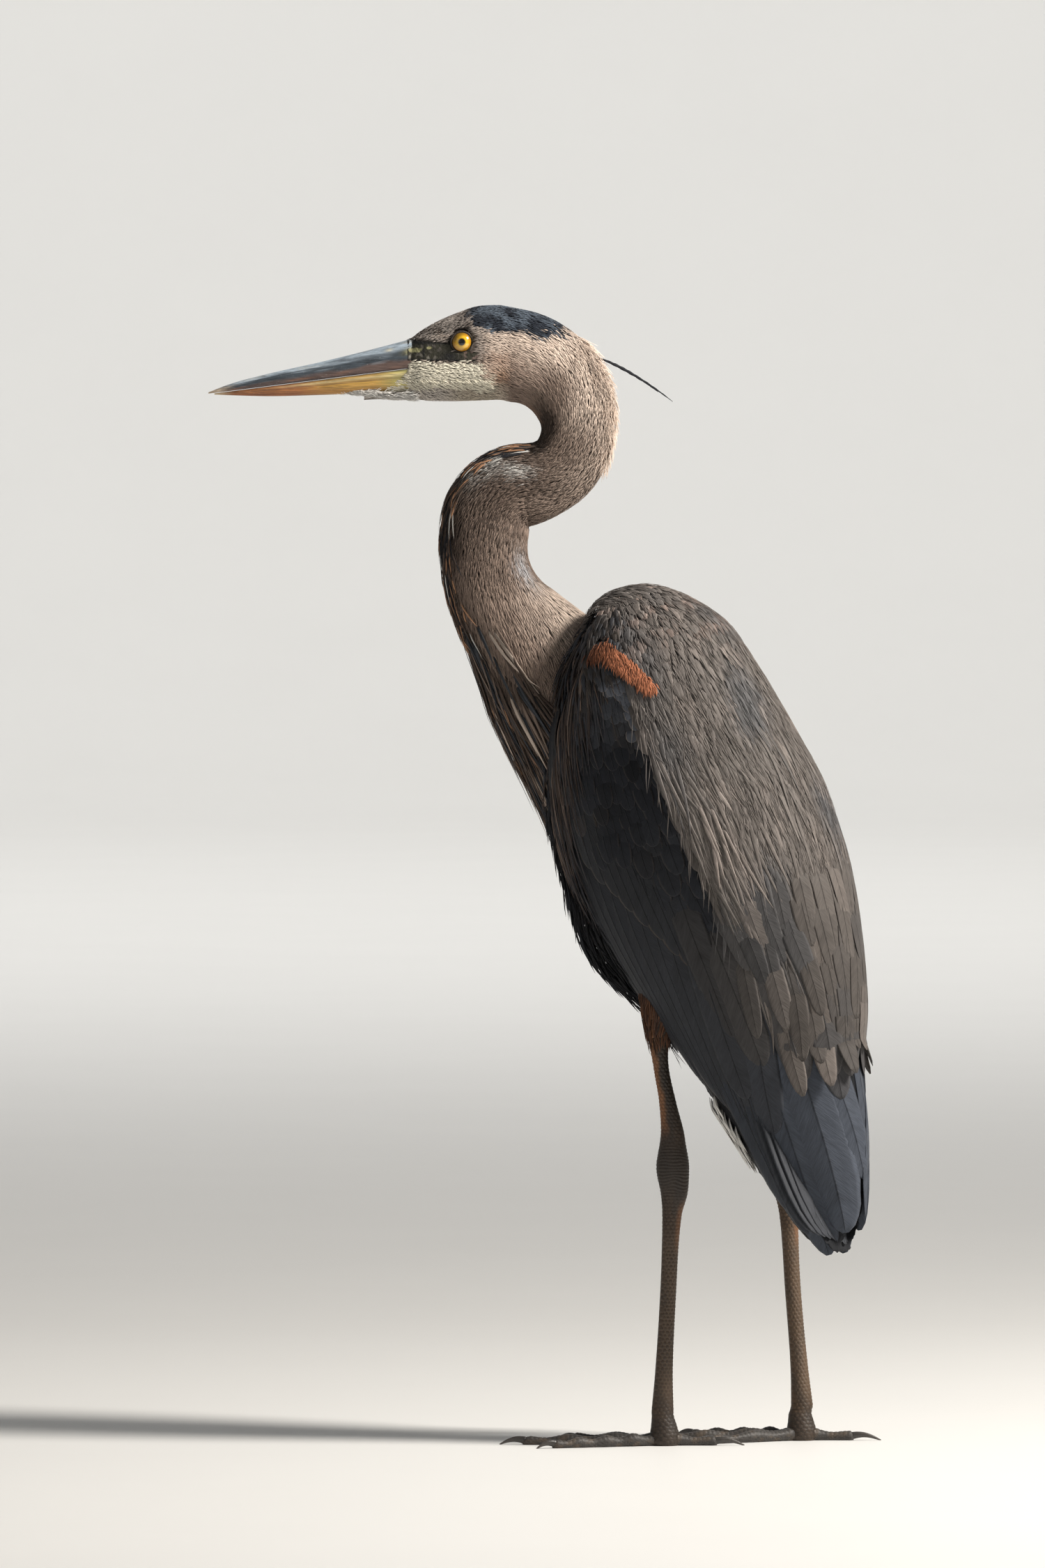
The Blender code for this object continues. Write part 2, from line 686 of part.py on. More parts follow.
def main():
    clear_scene()
    parts, cutters = new_collection("great_blue_heron"), new_collection("cutters")
    trunk = make_trunk(parts)
    cape = make_cape(parts, cutters, trunk)
    wings = {side: make_wing(side, parts, cutters, [trunk, cape]) for side in SIDES}
    all_wings = wings["left"] + wings["right"]
    vent = cut(flat_loft("vent", VENT, "plumage_white", parts), [trunk, *all_wings], cutters)
    cut(flat_loft("tail", TAIL, "plumage_grey", parts), [trunk, vent, *all_wings], cutters)
    front_wings = [piece for side in SIDES for piece in wings[side][:2]]
    neck = make_neck(parts, cutters, [trunk, cape, *front_wings])
    eyes = [make_eye(side, parts) for side in SIDES]
    head = make_head(parts, cutters, eyes)
    make_bill("bill_upper", UPPER_BILL, 1, "bill_slate", parts)
    lower = make_bill("bill_lower", LOWER_BILL, -1, "bill_ochre", parts)
    make_chin(parts, [head, lower], cutters)
    for name in PLUMES:
        make_plume(name, parts, [neck[0], neck[1]], cutters)
    for side in SIDES:
        make_leg(side, parts, cutters, [trunk, *all_wings])
        make_foot(side, parts)
        made = {toe: make_toe(side, toe, parts) for toe in TOES}
        for toe in ("inner", "outer"):
            cut(made[toe], [made["middle"]], cutters)
    centre_on_floor(parts)


main()
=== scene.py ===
"""Great blue heron, life size: skin, feathers, bill, eyes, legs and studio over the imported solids.

Lengths inside this file are millimetres in the bird's own plan, which ANCHOR moves into the frame.
The bird looks along -X. Every surface is a Zone of two coordinates (u, v): u runs along the form,
from head to tail or down a leg, and v is an angle from the back (0) past the bird's left side (90)
to the belly (180). Feathers are rooted on a zone and walk along it.
"""

import math

import bpy
import numpy as np
from bpy.props import FloatProperty, FloatVectorProperty, IntProperty, PointerProperty
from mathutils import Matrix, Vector


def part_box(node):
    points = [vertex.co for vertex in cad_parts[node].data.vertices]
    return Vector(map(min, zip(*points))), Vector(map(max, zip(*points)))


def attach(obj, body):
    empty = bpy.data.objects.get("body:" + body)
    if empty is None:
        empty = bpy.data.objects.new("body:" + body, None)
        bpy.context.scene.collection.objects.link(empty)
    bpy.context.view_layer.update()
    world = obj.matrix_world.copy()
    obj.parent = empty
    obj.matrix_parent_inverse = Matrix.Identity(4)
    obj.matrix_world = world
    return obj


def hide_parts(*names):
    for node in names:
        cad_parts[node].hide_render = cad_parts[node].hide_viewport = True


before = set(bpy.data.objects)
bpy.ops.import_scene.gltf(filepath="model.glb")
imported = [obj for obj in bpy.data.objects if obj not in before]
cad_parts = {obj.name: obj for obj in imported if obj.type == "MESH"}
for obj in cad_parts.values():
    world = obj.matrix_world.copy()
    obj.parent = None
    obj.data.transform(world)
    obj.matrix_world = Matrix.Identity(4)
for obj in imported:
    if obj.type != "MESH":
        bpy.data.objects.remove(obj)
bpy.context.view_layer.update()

bl_info = {
    "name": "Great blue heron",
    "version": (1, 0, 0),
    "blender": (4, 5, 0),
    "location": "View3D > Sidebar > Heron",
    "description": "Dresses a life-size great blue heron in skin and feathers, and lights it",
    "category": "Object",
}

MM = 0.001
SIDES = {"left": 1.0, "right": -1.0}

# ---- The bird's plan, mm ----
BODY_CENTRE = np.array((0.0, 0.0, 442.0))
BODY_YAW, BODY_PITCH = math.radians(28.0), math.radians(20.0)
FORWARD = np.array((-math.cos(BODY_YAW), math.sin(BODY_YAW), 0.0))
UPWARD = np.array((0.0, 0.0, 1.0))
TAILWARD = -FORWARD * math.sin(BODY_PITCH) - UPWARD * math.cos(BODY_PITCH)
BACKWARD = -FORWARD * math.cos(BODY_PITCH) + UPWARD * math.sin(BODY_PITCH)
LEFTWARD = np.array((-math.sin(BODY_YAW), -math.cos(BODY_YAW), 0.0))
# Body sections: (s, depth to the back, depth to the belly, half width)
TRUNK = (
    (-154, 47, 34, 40),
    (-130, 51, 44, 44),
    (-100, 61, 68, 54),
    (-60, 72, 89, 60),
    (-20, 81, 99, 64),
    (20, 89, 103, 65),
    (60, 90, 105, 62),
    (88, 88, 99, 57),
    (113, 84, 84, 51),
    (140, 79, 66, 43),
    (180, 64, 48, 30),
    (222, 50, 36, 20),
)
WING = (
    (-128, 42, 42, 45),
    (-100, 62, 64, 61),
    (-60, 74, 84, 70),
    (-20, 83, 94, 76),
    (20, 90, 97, 77),
    (60, 91, 92, 75),
    (100, 88, 82, 69),
    (140, 84, 69, 60),
    (180, 74, 57, 49),
    (215, 62, 45, 40),
    (250, 54, 35, 32),
    (280, 45, 28, 24),
    (307, 35, 20, 16),
    (326, 26, 12, 10),
)
CAPE = (
    (-154, 56, 40, 48),
    (-130, 59, 44, 54),
    (-100, 69, 64, 66),
    (-60, 80, 84, 74),
    (-20, 89, 92, 80),
    (20, 97, 96, 81),
    (60, 98, 92, 79),
    (100, 95, 82, 73),
    (140, 88, 68, 62),
    (180, 77, 55, 51),
    (196, 70, 50, 46),
)
WING_TOP_EDGE = ((-128, 62), (-60, 50), (60, 50), (120, 40), (180, 14), (230, 4), (285, 4), (326, 52))
WING_LOW_EDGE = ((-128, 84), (-90, 118), (-40, 142), (0, 152), (250, 151), (296, 135), (326, 84))
TAIL = ((140, 0, 9, 22), (200, 0, 8, 30), (260, 2, 6, 33), (310, 6, 4, 30), (331, 9, 2.5, 16))
VENT = ((112, -46, 20, 26), (150, -38, 18, 26), (200, -27, 13, 22), (240, -20, 8, 15), (264, -15, 3, 6))
HEAD_PLANE_Y = 46.0
NECK_START = (-114.2, 748.2)
NECK_HEADING = -10.7
NECK_BENDS = ((88, -104.0), (19, -35.4), (23, -20.0), (37, 69.0), (74, 50.0), (86, -6.0), (88, -13.0))
NECK_GIRTH = (  # (distance, half depth, half width)
    (0, 32, 17.5),
    (30, 29.5, 16.5),
    (50, 27.5, 15.7),
    (73, 24.5, 15.2),
    (92, 25, 15.6),
    (110, 26, 16.3),
    (128, 28.3, 17.3),
    (146, 29.8, 18.3),
    (166, 30.3, 19.2),
    (191, 30, 20),
    (210, 31, 21.5),
    (229, 33.8, 24.5),
    (248, 38, 29.5),
    (267, 43.5, 34.5),
    (286, 49, 39),
    (327, 54, 46),
    (360, 55, 50),
    (388, 50, 46),
    (406, 38, 36),
    (414, 22, 22),
)
HEAD = (  # (x, top z, bottom z, half width)
    (-189.5, 760.5, 720, 10.5),
    (-184, 765, 718.5, 12.5),
    (-172, 772, 717.5, 14.8),
    (-158, 778, 717.5, 16.5),
    (-142, 783, 718, 18),
    (-128, 783.5, 718.5, 18.3),
)
EYE_CENTRE = (-154.7, 758.2)
EYE_OFFSET = 9.6
EYE_RADIUS = 9.0
BILL_BASE, BILL_TIP = (-190.2, 740.0), (-330.0, 722.3)
UPPER_BILL = ((0, 20, 10), (0.2, 16.2, 8.6), (0.45, 12, 6.6), (0.7, 8.6, 4.6), (0.9, 4.6, 2.4), (1, 0.9, 0.7))
LOWER_BILL = (
    (0, 17, 9.6), (0.2, 13.5, 8.2), (0.45, 10.4, 6.2), (0.7, 6.8, 4.2), (0.88, 3.0, 2.2), (0.97, 0.9, 0.7)
)
CHIN = (
    (-250, 727.2, 724.6, 2.4), (-225, 728.5, 722.0, 4.4), (-205, 728.5, 719.5, 6.0), (-190.1, 728, 718.8, 7.4)
)
PLUMES = {  # (start x, y from the head's plane, z, length, droop, slant in y)
    "crest_plume_left": ((-60, -2.6, 747), 51, 20, -4),
    "crest_plume_right": ((-61, 2.6, 747.5), 42, 14, 5),
}
FOOT_PLACE = {"left": (-15, -32), "right": (80, 18)}
HIP_Y = {"left": -24, "right": 35}
LEG_STEPS = {  # (x, z, half depth, half width)
    "left": (
        (-2, 350, 28, 20),
        (-12, 312, 20, 15),
        (-19, 278, 7.4, 6.8),
        (-17.2, 258, 5.2, 4.8),
        (-13, 236, 5.8, 5.4),
        (-9.5, 210, 8.6, 7.0),
        (-9.5, 191, 11.4, 8.6),
        (-8.5, 174, 9.4, 7.4),
        (-10, 158, 6.6, 5.8),
        (-12.6, 105, 5.4, 4.8),
        (-15.5, 50, 6.0, 5.2),
        (-16.5, 22, 7.6, 6.4),
    ),
    "right": (
        (-2, 330, 28, 20),
        (6, 292, 20, 15),
        (20, 258, 9.0, 7.0),
        (30, 242, 6.6, 5.0),
        (43, 224, 7.0, 5.4),
        (59, 205, 9.6, 7.0),
        (67, 190, 11.4, 8.6),
        (69.5, 174, 9.4, 7.4),
        (71, 158, 6.6, 5.8),
        (74, 105, 5.4, 4.8),
        (78.5, 50, 6.0, 5.2),
        (80.5, 22, 7.6, 6.4),
    ),
}
TOES = {"inner": (27, 74, 2), "middle": (0, 98, 3), "outer": (-24, 82, 4), "hind": (176, 36, 1)}
FOOT_TURN = {"left": -4.0, "right": 3.0}
CLAW_LENGTH = {"inner": 14, "middle": 16, "outer": 12, "hind": 19}
TOE_RADIUS = 4.6
ANKLE_LEVEL = 190  # above the floor
FOOT_LEVEL = 22  # where a leg turns into its foot's hub
SHIELD_PITCH = {"leg": 4.1, "toe": 3.1}  # from one shield on the front of a leg, or on a toe, to the next
SCALE_SIZE = {"leg": 2.9, "toe": 1.9}  # of the six-sided scales
HEX_ROW = 0.866  # rows of six-sided scales are this share of their size apart
NECK_FOOT = 470.0  # under this level the skin is the body's, over it the neck's
THIGH_TOP = 352.0
FACE_FOOT = 715.0
NEAR_NECK = 1.25  # what is within this share of the neck's radius is the neck's
SWELL = 0.9  # how much the flesh is swollen before it is joined


def eye_anchor():
    """What moves the plan into the frame: the eyes' own middle says where the plan's is."""
    corners = [np.array(corner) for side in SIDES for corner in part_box(f"eye_{side}")]
    middle = sum(corners) / len(corners) / MM
    return middle - np.array((EYE_CENTRE[0], HEAD_PLANE_Y, EYE_CENTRE[1]))


ANCHOR = eye_anchor()


# ---- Forms ----
def along(table, x):
    """Each column of a table of stations at every x, by a smooth curve that never swings past one."""
    rows = np.array(table, float)
    xs, ys = rows[:, 0], rows[:, 1:]
    steps = np.diff(ys, axis=0) / np.diff(xs)[:, None]
    slopes = np.zeros_like(ys)
    slopes[0], slopes[-1] = steps[0], steps[-1]
    slopes[1:-1] = np.where(steps[1:] * steps[:-1] > 0, (steps[1:] + steps[:-1]) / 2, 0)
    limit = 3 * np.minimum(abs(steps[1:]), abs(steps[:-1]))
    slopes[1:-1] = np.clip(slopes[1:-1], -limit, limit)
    x = np.clip(np.asarray(x, float), xs[0], xs[-1])
    i = np.clip(np.searchsorted(xs, x, side="right") - 1, 0, len(xs) - 2)
    h = xs[i + 1] - xs[i]
    t = (x - xs[i]) / h
    a, b = 2 * t**3 - 3 * t**2 + 1, t**3 - 2 * t**2 + t
    c, d = -2 * t**3 + 3 * t**2, t**3 - t**2
    mixed = a[..., None] * ys[i] + (b * h)[..., None] * slopes[i]
    mixed += c[..., None] * ys[i + 1] + (d * h)[..., None] * slopes[i + 1]
    return np.moveaxis(mixed, -1, 0)


def grids(*values):
    """Numbers or tables as tables of one size."""
    return np.broadcast_arrays(*(np.asarray(value, float) for value in values))


def ring(count):
    """The angles of the corners round a tube, in radians."""
    return np.linspace(0, math.tau, count, endpoint=False)[None]


def places(*axes):
    """One array of places out of their coordinates, each a table or a number."""
    return np.stack(np.broadcast_arrays(*axes), -1)


def unit(vectors):
    return vectors / np.maximum(np.linalg.norm(vectors, axis=-1, keepdims=True), 1e-9)


def soft(x, low, high):
    """0 below low, 1 above high, and a smooth rise between them."""
    t = np.clip((np.asarray(x, float) - low) / (high - low), 0, 1)
    return t * t * (3 - 2 * t)


def ridge(offset, width):
    """1 where the offset is nothing, fading to 0 about a width away on either side."""
    return np.exp(-((offset / width) ** 2))


def ripple(x, y, size, seed=0):
    """A smooth field of about -1 to 1 whose blotches are size wide."""
    rng = np.random.default_rng(seed)
    total = 0
    for _ in range(7):
        turn, shift, scale = rng.uniform(0, math.tau), rng.uniform(0, math.tau), rng.uniform(0.6, 1.7)
        total = total + np.sin(
            (x * math.cos(turn) + y * math.sin(turn)) * math.tau * scale / (2 * size) + shift
        )
    return total / 3.2


class Zone:
    """A surface of two coordinates, u in mm along a form and v in degrees round it."""

    def __init__(self, point, hand=1.0):
        self.shape, self.hand = point, hand

    def point(self, u, v):
        u, v = grids(u, v)
        return self.shape(u, v * self.hand)

    def slopes(self, u, v):
        along_u = (self.point(np.asarray(u) + 1.0, v) - self.point(np.asarray(u) - 1.0, v)) / 2.0
        round_v = (self.point(u, np.asarray(v) + 1.5) - self.point(u, np.asarray(v) - 1.5)) / 3.0
        return along_u, round_v

    def metric(self, u, v):
        """How many mm a step of one mm in u and one degree in v really are."""
        along_u, round_v = (np.linalg.norm(slope, axis=-1) for slope in self.slopes(u, v))
        return np.maximum(along_u, 0.3), np.maximum(round_v, 0.05)

    def normal(self, u, v):
        along_u, round_v = self.slopes(u, v)
        return unit(np.cross(round_v, along_u) * self.hand)


def body_place(s, back, left):
    return BODY_CENTRE + s[..., None] * TAILWARD + back[..., None] * BACKWARD + left[..., None] * LEFTWARD


def body_zone(table, cap=0.0, hand=1.0):
    """The surface that a table of body sections gives; cap is the length over which its top closes."""

    def point(s, angle):
        back, belly, wide = along(table, s)
        if cap:
            share = np.clip((s - table[0][0]) / cap, 0.0, 1.0)
            shrink = np.sqrt(np.maximum(1 - (1 - share) ** 2, 0.0004))
            back, belly, wide = back * shrink, belly * shrink, wide * shrink
        turn = np.radians(angle)
        deep = np.where(np.cos(turn) > 0, back, belly)
        return body_place(s, deep * np.cos(turn), wide * np.sin(turn))

    return Zone(point, hand)


def withers_zone():
    """The top of the cape as a dome: u - 210 is mm rearwards of its middle, v is mm towards the left."""

    def point(u, v):
        back = u - 210.0
        reach = np.where(back > 0, 57.0, 41.0)
        share = 1 - np.sqrt(np.maximum(1 - (back / reach) ** 2 - (v / 50.0) ** 2, 0.01))
        return body_place(CAPE[0][0] + 52.0 * share, back, v)

    return Zone(point)


def flat_zone(table):
    def point(s, angle):
        centre, deep, wide = along(table, s)
        turn = np.radians(angle)
        return body_place(s, centre + deep * np.cos(turn), wide * np.sin(turn))

    return Zone(point)


def neck_line():
    """(x, z, heading) down the middle of the neck at every mm, and on past its end."""
    x, z, heading, steps = *NECK_START, NECK_HEADING, [(*NECK_START, NECK_HEADING)]
    for length, turn in (*NECK_BENDS, (220, 0.0)):
        for _ in range(length):
            heading += turn / length
            turned = math.radians(heading - turn / length / 2)
            x, z = x + math.cos(turned), z + math.sin(turned)
            steps.append((x, z, heading))
    return np.array(steps)


NECK_LINE = neck_line()
HEAD_END = HEAD[-1][0] - NECK_START[0]  # u of the head's last section


def neck_plane(u):
    """The y of the neck's middle, which leaves the head's plane towards the breast."""
    return HEAD_PLANE_Y - 4 * np.clip((u - 260) / 154, 0, None)


def neck_zone(girth, hand=1.0):
    """The head and neck as one form: u is 0 at the nape, less on the head and more down the neck."""

    def point(u, v):
        turn = np.radians(v)
        distance = np.clip(u, 0, len(NECK_LINE) - 1)
        x, z, heading = (np.interp(distance, np.arange(len(NECK_LINE)), column) for column in NECK_LINE.T)
        heading = np.radians(heading)
        deep, wide = along(girth, distance)
        plane = neck_plane(distance)
        rise, aside = deep * np.cos(turn), wide * np.sin(turn)
        tube = places(x - np.sin(heading) * rise, plane - aside, z + np.cos(heading) * rise)
        top, bottom, half = along(HEAD, NECK_START[0] + u)
        narrow = 1 - 0.22 * np.clip(-np.cos(turn), 0, None) ** 2
        face = np.minimum(NECK_START[0] + u, HEAD[-1][0])
        height = (top + bottom) / 2 + (top - bottom) / 2 * np.cos(turn)
        skull = places(face, HEAD_PLANE_Y - half * narrow * np.sin(turn), height)
        share = np.clip((u - HEAD_END) / -HEAD_END, 0, 1)[..., None]
        return skull * (1 - share) + tube * share

    return Zone(point, hand)


def leg_zone(side):
    """A leg from the hip down: u is how far below its top, v is 0 at its rear."""
    steps = np.array(LEG_STEPS[side], float)
    drop = steps[0][1] - steps[:, 1]
    table = np.column_stack((drop, steps[:, 0], steps[:, 2], steps[:, 3]))
    top, foot_y = steps[0][1], FOOT_PLACE[side][1]

    def point(u, v):
        x, deep, wide = along(table, u)
        z = top - u
        y = foot_y + (HIP_Y[side] - foot_y) * np.clip((z - FOOT_LEVEL) / 378, 0, None)
        turn = np.radians(v)
        return places(x + deep * np.cos(turn), y - wide * np.sin(turn), z)

    return Zone(point)


NECK = neck_zone(NECK_GIRTH)
PLUME_GIRTH = (*(row for row in NECK_GIRTH if row[0] <= 360), (400, 55, 50), (500, 56, 50), (620, 50, 44))
NECK_LONG = neck_zone(PLUME_GIRTH)
BACK, WITHERS = body_zone(CAPE, 52.0), withers_zone()
FLANK = body_zone(TRUNK, 52.0)
WINGS = {side: body_zone(WING, hand=hand) for side, hand in SIDES.items()}
RUMP, UNDERTAIL = flat_zone(TAIL), flat_zone(VENT)


# ---- Shaders ----
class Value:
    """A shader's number that takes part in Python arithmetic: each step adds a Math node."""

    def __init__(self, shader, socket):
        self.shader, self.socket = shader, socket

    def math(self, operation, *values):
        return self.shader.node("ShaderNodeMath", {"operation": operation}, dict(enumerate(values)))

    def __add__(self, other):
        return self.math("ADD", self, other)

    def __sub__(self, other):
        return self.math("SUBTRACT", self, other)

    def __rsub__(self, other):
        return self.math("SUBTRACT", other, self)

    def __mul__(self, other):
        return self.math("MULTIPLY", self, other)

    __radd__, __rmul__ = __add__, __mul__

    def size(self):
        return self.math("ABSOLUTE", self)

    def rise(self, low, high):
        """0 below low, 1 above high, smooth between."""
        settings = {"interpolation_type": "SMOOTHSTEP"}
        return self.shader.node(
            "ShaderNodeMapRange", settings, {"Value": self, "From Min": low, "From Max": high}
        )


class Shader:
    """One material, built from expressions."""

    def __init__(self, name, **constants):
        self.material = bpy.data.materials.new(name)
        self.material.use_nodes = True
        self.tree = self.material.node_tree
        self.surface = self.tree.nodes["Principled BSDF"]
        self.feed_all(**constants)

    def feed(self, socket, value):
        if isinstance(value, Value):
            self.tree.links.new(value.socket, socket)
        elif hasattr(value, "__len__") and len(value) == 3 and socket.type == "RGBA":
            socket.default_value = (*value, 1.0)
        else:
            socket.default_value = value

    def node(self, kind, settings=None, inputs=None, output=0):
        """Adds a node of this type, sets it up, feeds its sockets, and gives one of its outputs."""
        made = self.tree.nodes.new(kind)
        for key, value in (settings or {}).items():
            setattr(made, key, value)
        for key, value in (inputs or {}).items():
            self.feed(made.inputs[key], value)
        return Value(self, made.outputs[output])

    def attribute(self, name, output="Color"):
        return self.node("ShaderNodeAttribute", {"attribute_name": name}, output=output)

    def parts(self, vector):
        return [self.node("ShaderNodeSeparateXYZ", None, {0: vector}, i) for i in range(3)]

    def place(self, scale=(1, 1, 1), turn=(0, 0, 0)):
        """The place on the piece, in mm, stretched."""
        spot = self.node("ShaderNodeTexCoord", None, None, "Object")
        sizes = {
            "Vector": spot, "Scale": [1000 * s for s in scale], "Rotation": [math.radians(a) for a in turn]
        }
        return self.node("ShaderNodeMapping", None, sizes)

    def noise(self, vector, size, detail=3.0, rough=0.55, twist=0.0):
        """Soft noise of about -1 to 1 with features of that many mm."""
        inputs = {
            "Vector": vector, "Scale": 1.0 / size, "Detail": detail, "Roughness": rough, "Distortion": twist
        }
        return self.node("ShaderNodeTexNoise", None, inputs) * 2.0 - 1.0

    def mix(self, share, one, other):
        return self.node("ShaderNodeMix", {"data_type": "RGBA"}, {0: share, 6: one, 7: other}, 2)

    def shade(self, colour, factor):
        """A colour times a number."""
        grey = self.node("ShaderNodeCombineXYZ", None, {0: factor, 1: factor, 2: factor})
        return self.node("ShaderNodeVectorMath", {"operation": "MULTIPLY"}, {0: colour, 1: grey})

    def bump(self, height, depth):
        return self.node("ShaderNodeBump", None, {"Height": height, "Distance": depth * MM, "Strength": 1.0})

    def feed_all(self, **values):
        """Feeds the surface, each socket by its name with _ for its spaces, and gives the material."""
        for name, value in values.items():
            self.feed(self.surface.inputs[name.replace("_", " ")], value)
        return self.material


def found(maker):
    """The material that a maker makes, made once and named after it."""
    name = "heron_" + maker.__name__.removesuffix("_material")
    return bpy.data.materials.get(name) or maker(name)


def skin_material(name):
    s = Shader(name, Specular_IOR_Level=0.3)
    grain = s.noise(s.place(), 3.0)
    fine = s.noise(s.place((1, 1, 0.4)), 0.7)
    colour = s.shade(s.attribute("tint"), grain * 0.12 + fine * 0.1 + 0.95)
    return s.feed_all(Base_Color=colour, Roughness=grain * 0.06 + 0.78, Normal=s.bump(fine + grain, 0.25))


def down_material(name):
    """Hair-like feathers: each its own colour, paler towards its tip."""
    s = Shader(name, Specular_IOR_Level=0.12, Sheen_Weight=0.05, Sheen_Roughness=0.5)
    fine = s.noise(s.place(), 1.2)
    colour = s.shade(s.attribute("tint"), fine * 0.12 + 1.0)
    return s.feed_all(Base_Color=colour, Roughness=fine * 0.08 + 0.72, Normal=s.bump(fine, 0.06))


def barbed(name, lean, fine, contrast, shaft_dark, relief):
    """Feathers with a shaft, barbs and a rim: vane is (across, share along, chance), span is mm.

    lean is how far a barb runs along the feather for each mm that it runs out from the shaft.
    """
    s = Shader(name, Specular_IOR_Level=0.18, Sheen_Weight=0.03, Sheen_Roughness=0.4)
    across, _, chance = s.parts(s.attribute("vane", "Vector"))
    aside, length, _ = s.parts(s.attribute("span", "Vector"))
    scale = 1 / math.hypot(1, lean)
    over = (length - aside.size() * lean) * scale
    out = (length * lean + aside.size()) * (0.1 * scale)
    comb = s.node("ShaderNodeCombineXYZ", None, {0: chance * 91.0, 1: out, 2: over})
    barbs, broad = s.noise(comb, fine, 2.0), s.noise(comb, 5.0, 2.0)
    edge = across.size().rise(0.74, 0.97)
    shaft = 1.0 - across.size().rise(0.02, 0.06)
    colour = s.mix(edge * 0.85, s.attribute("tint"), s.attribute("rim"))
    colour = s.shade(colour, barbs * contrast + broad * 0.28 + 1.0 - shaft * shaft_dark)
    height = barbs * 0.6 + shaft
    return s.feed_all(Base_Color=colour, Roughness=barbs * 0.08 + 0.6, Normal=s.bump(height, relief))


def vane_material(name):
    return barbed(name, 1.3, 0.8, 0.42, 0.45, 0.2)


def streak_material(name):
    """Loose feathers whose barbs run almost along them, like hair."""
    return barbed(name, 7.0, 0.5, 0.55, 0.1, 0.16)


# ---- Meshes ----
def to_frame(points):
    return (np.asarray(points) + ANCHOR) * MM


def make_piece(name, points, tint, faces, maker, slot, replaced=(), uv=None, angle=None, **attributes):
    """A mesh piece on the root body. faces is a list of arrays, each of faces with equally many corners."""
    data = bpy.data.meshes.new(name)
    points = to_frame(points.reshape(-1, 3))
    data.vertices.add(len(points))
    data.vertices.foreach_set("co", points.ravel())
    faces = [np.asarray(group, np.int32) for group in faces if len(group)]
    corners = np.concatenate([group.ravel() for group in faces])
    sizes = np.concatenate([np.full(len(group), group.shape[1]) for group in faces])
    data.loops.add(len(corners))
    data.loops.foreach_set("vertex_index", corners)
    data.polygons.add(len(sizes))
    data.polygons.foreach_set("loop_start", np.concatenate(([0], np.cumsum(sizes)[:-1])))
    data.polygons.foreach_set("use_smooth", np.ones(len(sizes), bool))
    data.update(calc_edges=True)
    if angle:
        data.set_sharp_from_angle(angle=math.radians(angle))
    for key, values in ({"tint": opaque(tint)} | attributes).items():
        kind, field = ("FLOAT_COLOR", "color") if values.shape[1] == 4 else ("FLOAT_VECTOR", "vector")
        layer = data.attributes.new(key, kind, "POINT")
        layer.data.foreach_set(field, values.astype(np.float32).ravel())
    if uv is not None:
        layer = data.uv_layers.new(name="OFBake")
        layer.data.foreach_set("uv", uv[corners].astype(np.float32).ravel())
    data.validate()
    data.materials.append(found(maker))
    piece = bpy.data.objects.new(name, data)
    bpy.context.scene.collection.objects.link(piece)
    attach(piece, "root")
    if replaced:
        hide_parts(*replaced)


def opaque(colours):
    colours = np.clip(colours.reshape(-1, 3), 0, 1)
    return np.concatenate((colours, np.ones((len(colours), 1))), 1)


def tube_faces(rows, around):
    """Quads between rings, wound so that they look outward, and a cap on each end."""
    i, j = np.meshgrid(np.arange(rows - 1), np.arange(around), indexing="ij")
    k = (j + 1) % around
    quads = places(i * around + j, i * around + k, (i + 1) * around + k, (i + 1) * around + j).reshape(-1, 4)
    return [quads, np.arange(around)[None, ::-1], (np.arange(around) + (rows - 1) * around)[None]]


def mirrored(faces, turned=True):
    """Groups of faces, each seen from its other side if turned."""
    return [group[:, ::-1] if turned else group for group in faces]


# Sections across a feather: where each corner is, from edge to edge, and how far it rises.
HAIR = np.array(((-1, 0), (0, 1), (1, 0)), float)
BLADE = np.array(((-1, 0), (-0.5, 0.75), (0, 1), (0.5, 0.75), (1, 0)), float)
HALF_VANE = ((-1, 0), (-0.8, 0.5), (-0.45, 0.8), (-0.08, 0.85))
VANE = np.array((*HALF_VANE, (0, 1.5), *((-x, y) for x, y in HALF_VANE[::-1])), float)


def hair_outline(t):
    return np.interp(t, (0, 0.35, 0.75, 1), (0.7, 1, 0.75, 0.08))


def lance_outline(t):
    return np.interp(t, (0, 0.15, 0.4, 0.7, 0.9, 1), (0.35, 0.8, 1, 0.72, 0.34, 0.05))


def round_outline(t):
    root = np.minimum(1, (t / 0.25 + 0.08) ** 0.6)
    return root * np.sqrt(np.clip(1 - (np.clip(t - 0.5, 0, 1) / 0.505) ** 2.6, 0.02, 1))


def flight_outline(t):
    root = np.minimum(1, (t / 0.12 + 0.1) ** 0.5)
    return root * np.clip(1 - (np.clip(t - 0.72, 0, 1) / 0.283) ** 2.4, 0.01, 1) ** 0.55


# Kinds of feather: the section and the outline.
TUFT, WISP, SPEAR = (HAIR, hair_outline), (HAIR, lance_outline), (BLADE, lance_outline)
LEAF, QUILL = (VANE, round_outline), (VANE, flight_outline)


def bell(spread_of, middle=0.0):
    """Something for a coat to draw: values round a middle."""
    return lambda rng, total: rng.normal(middle, spread_of, total)


MOST_TRIANGLES = 200_000


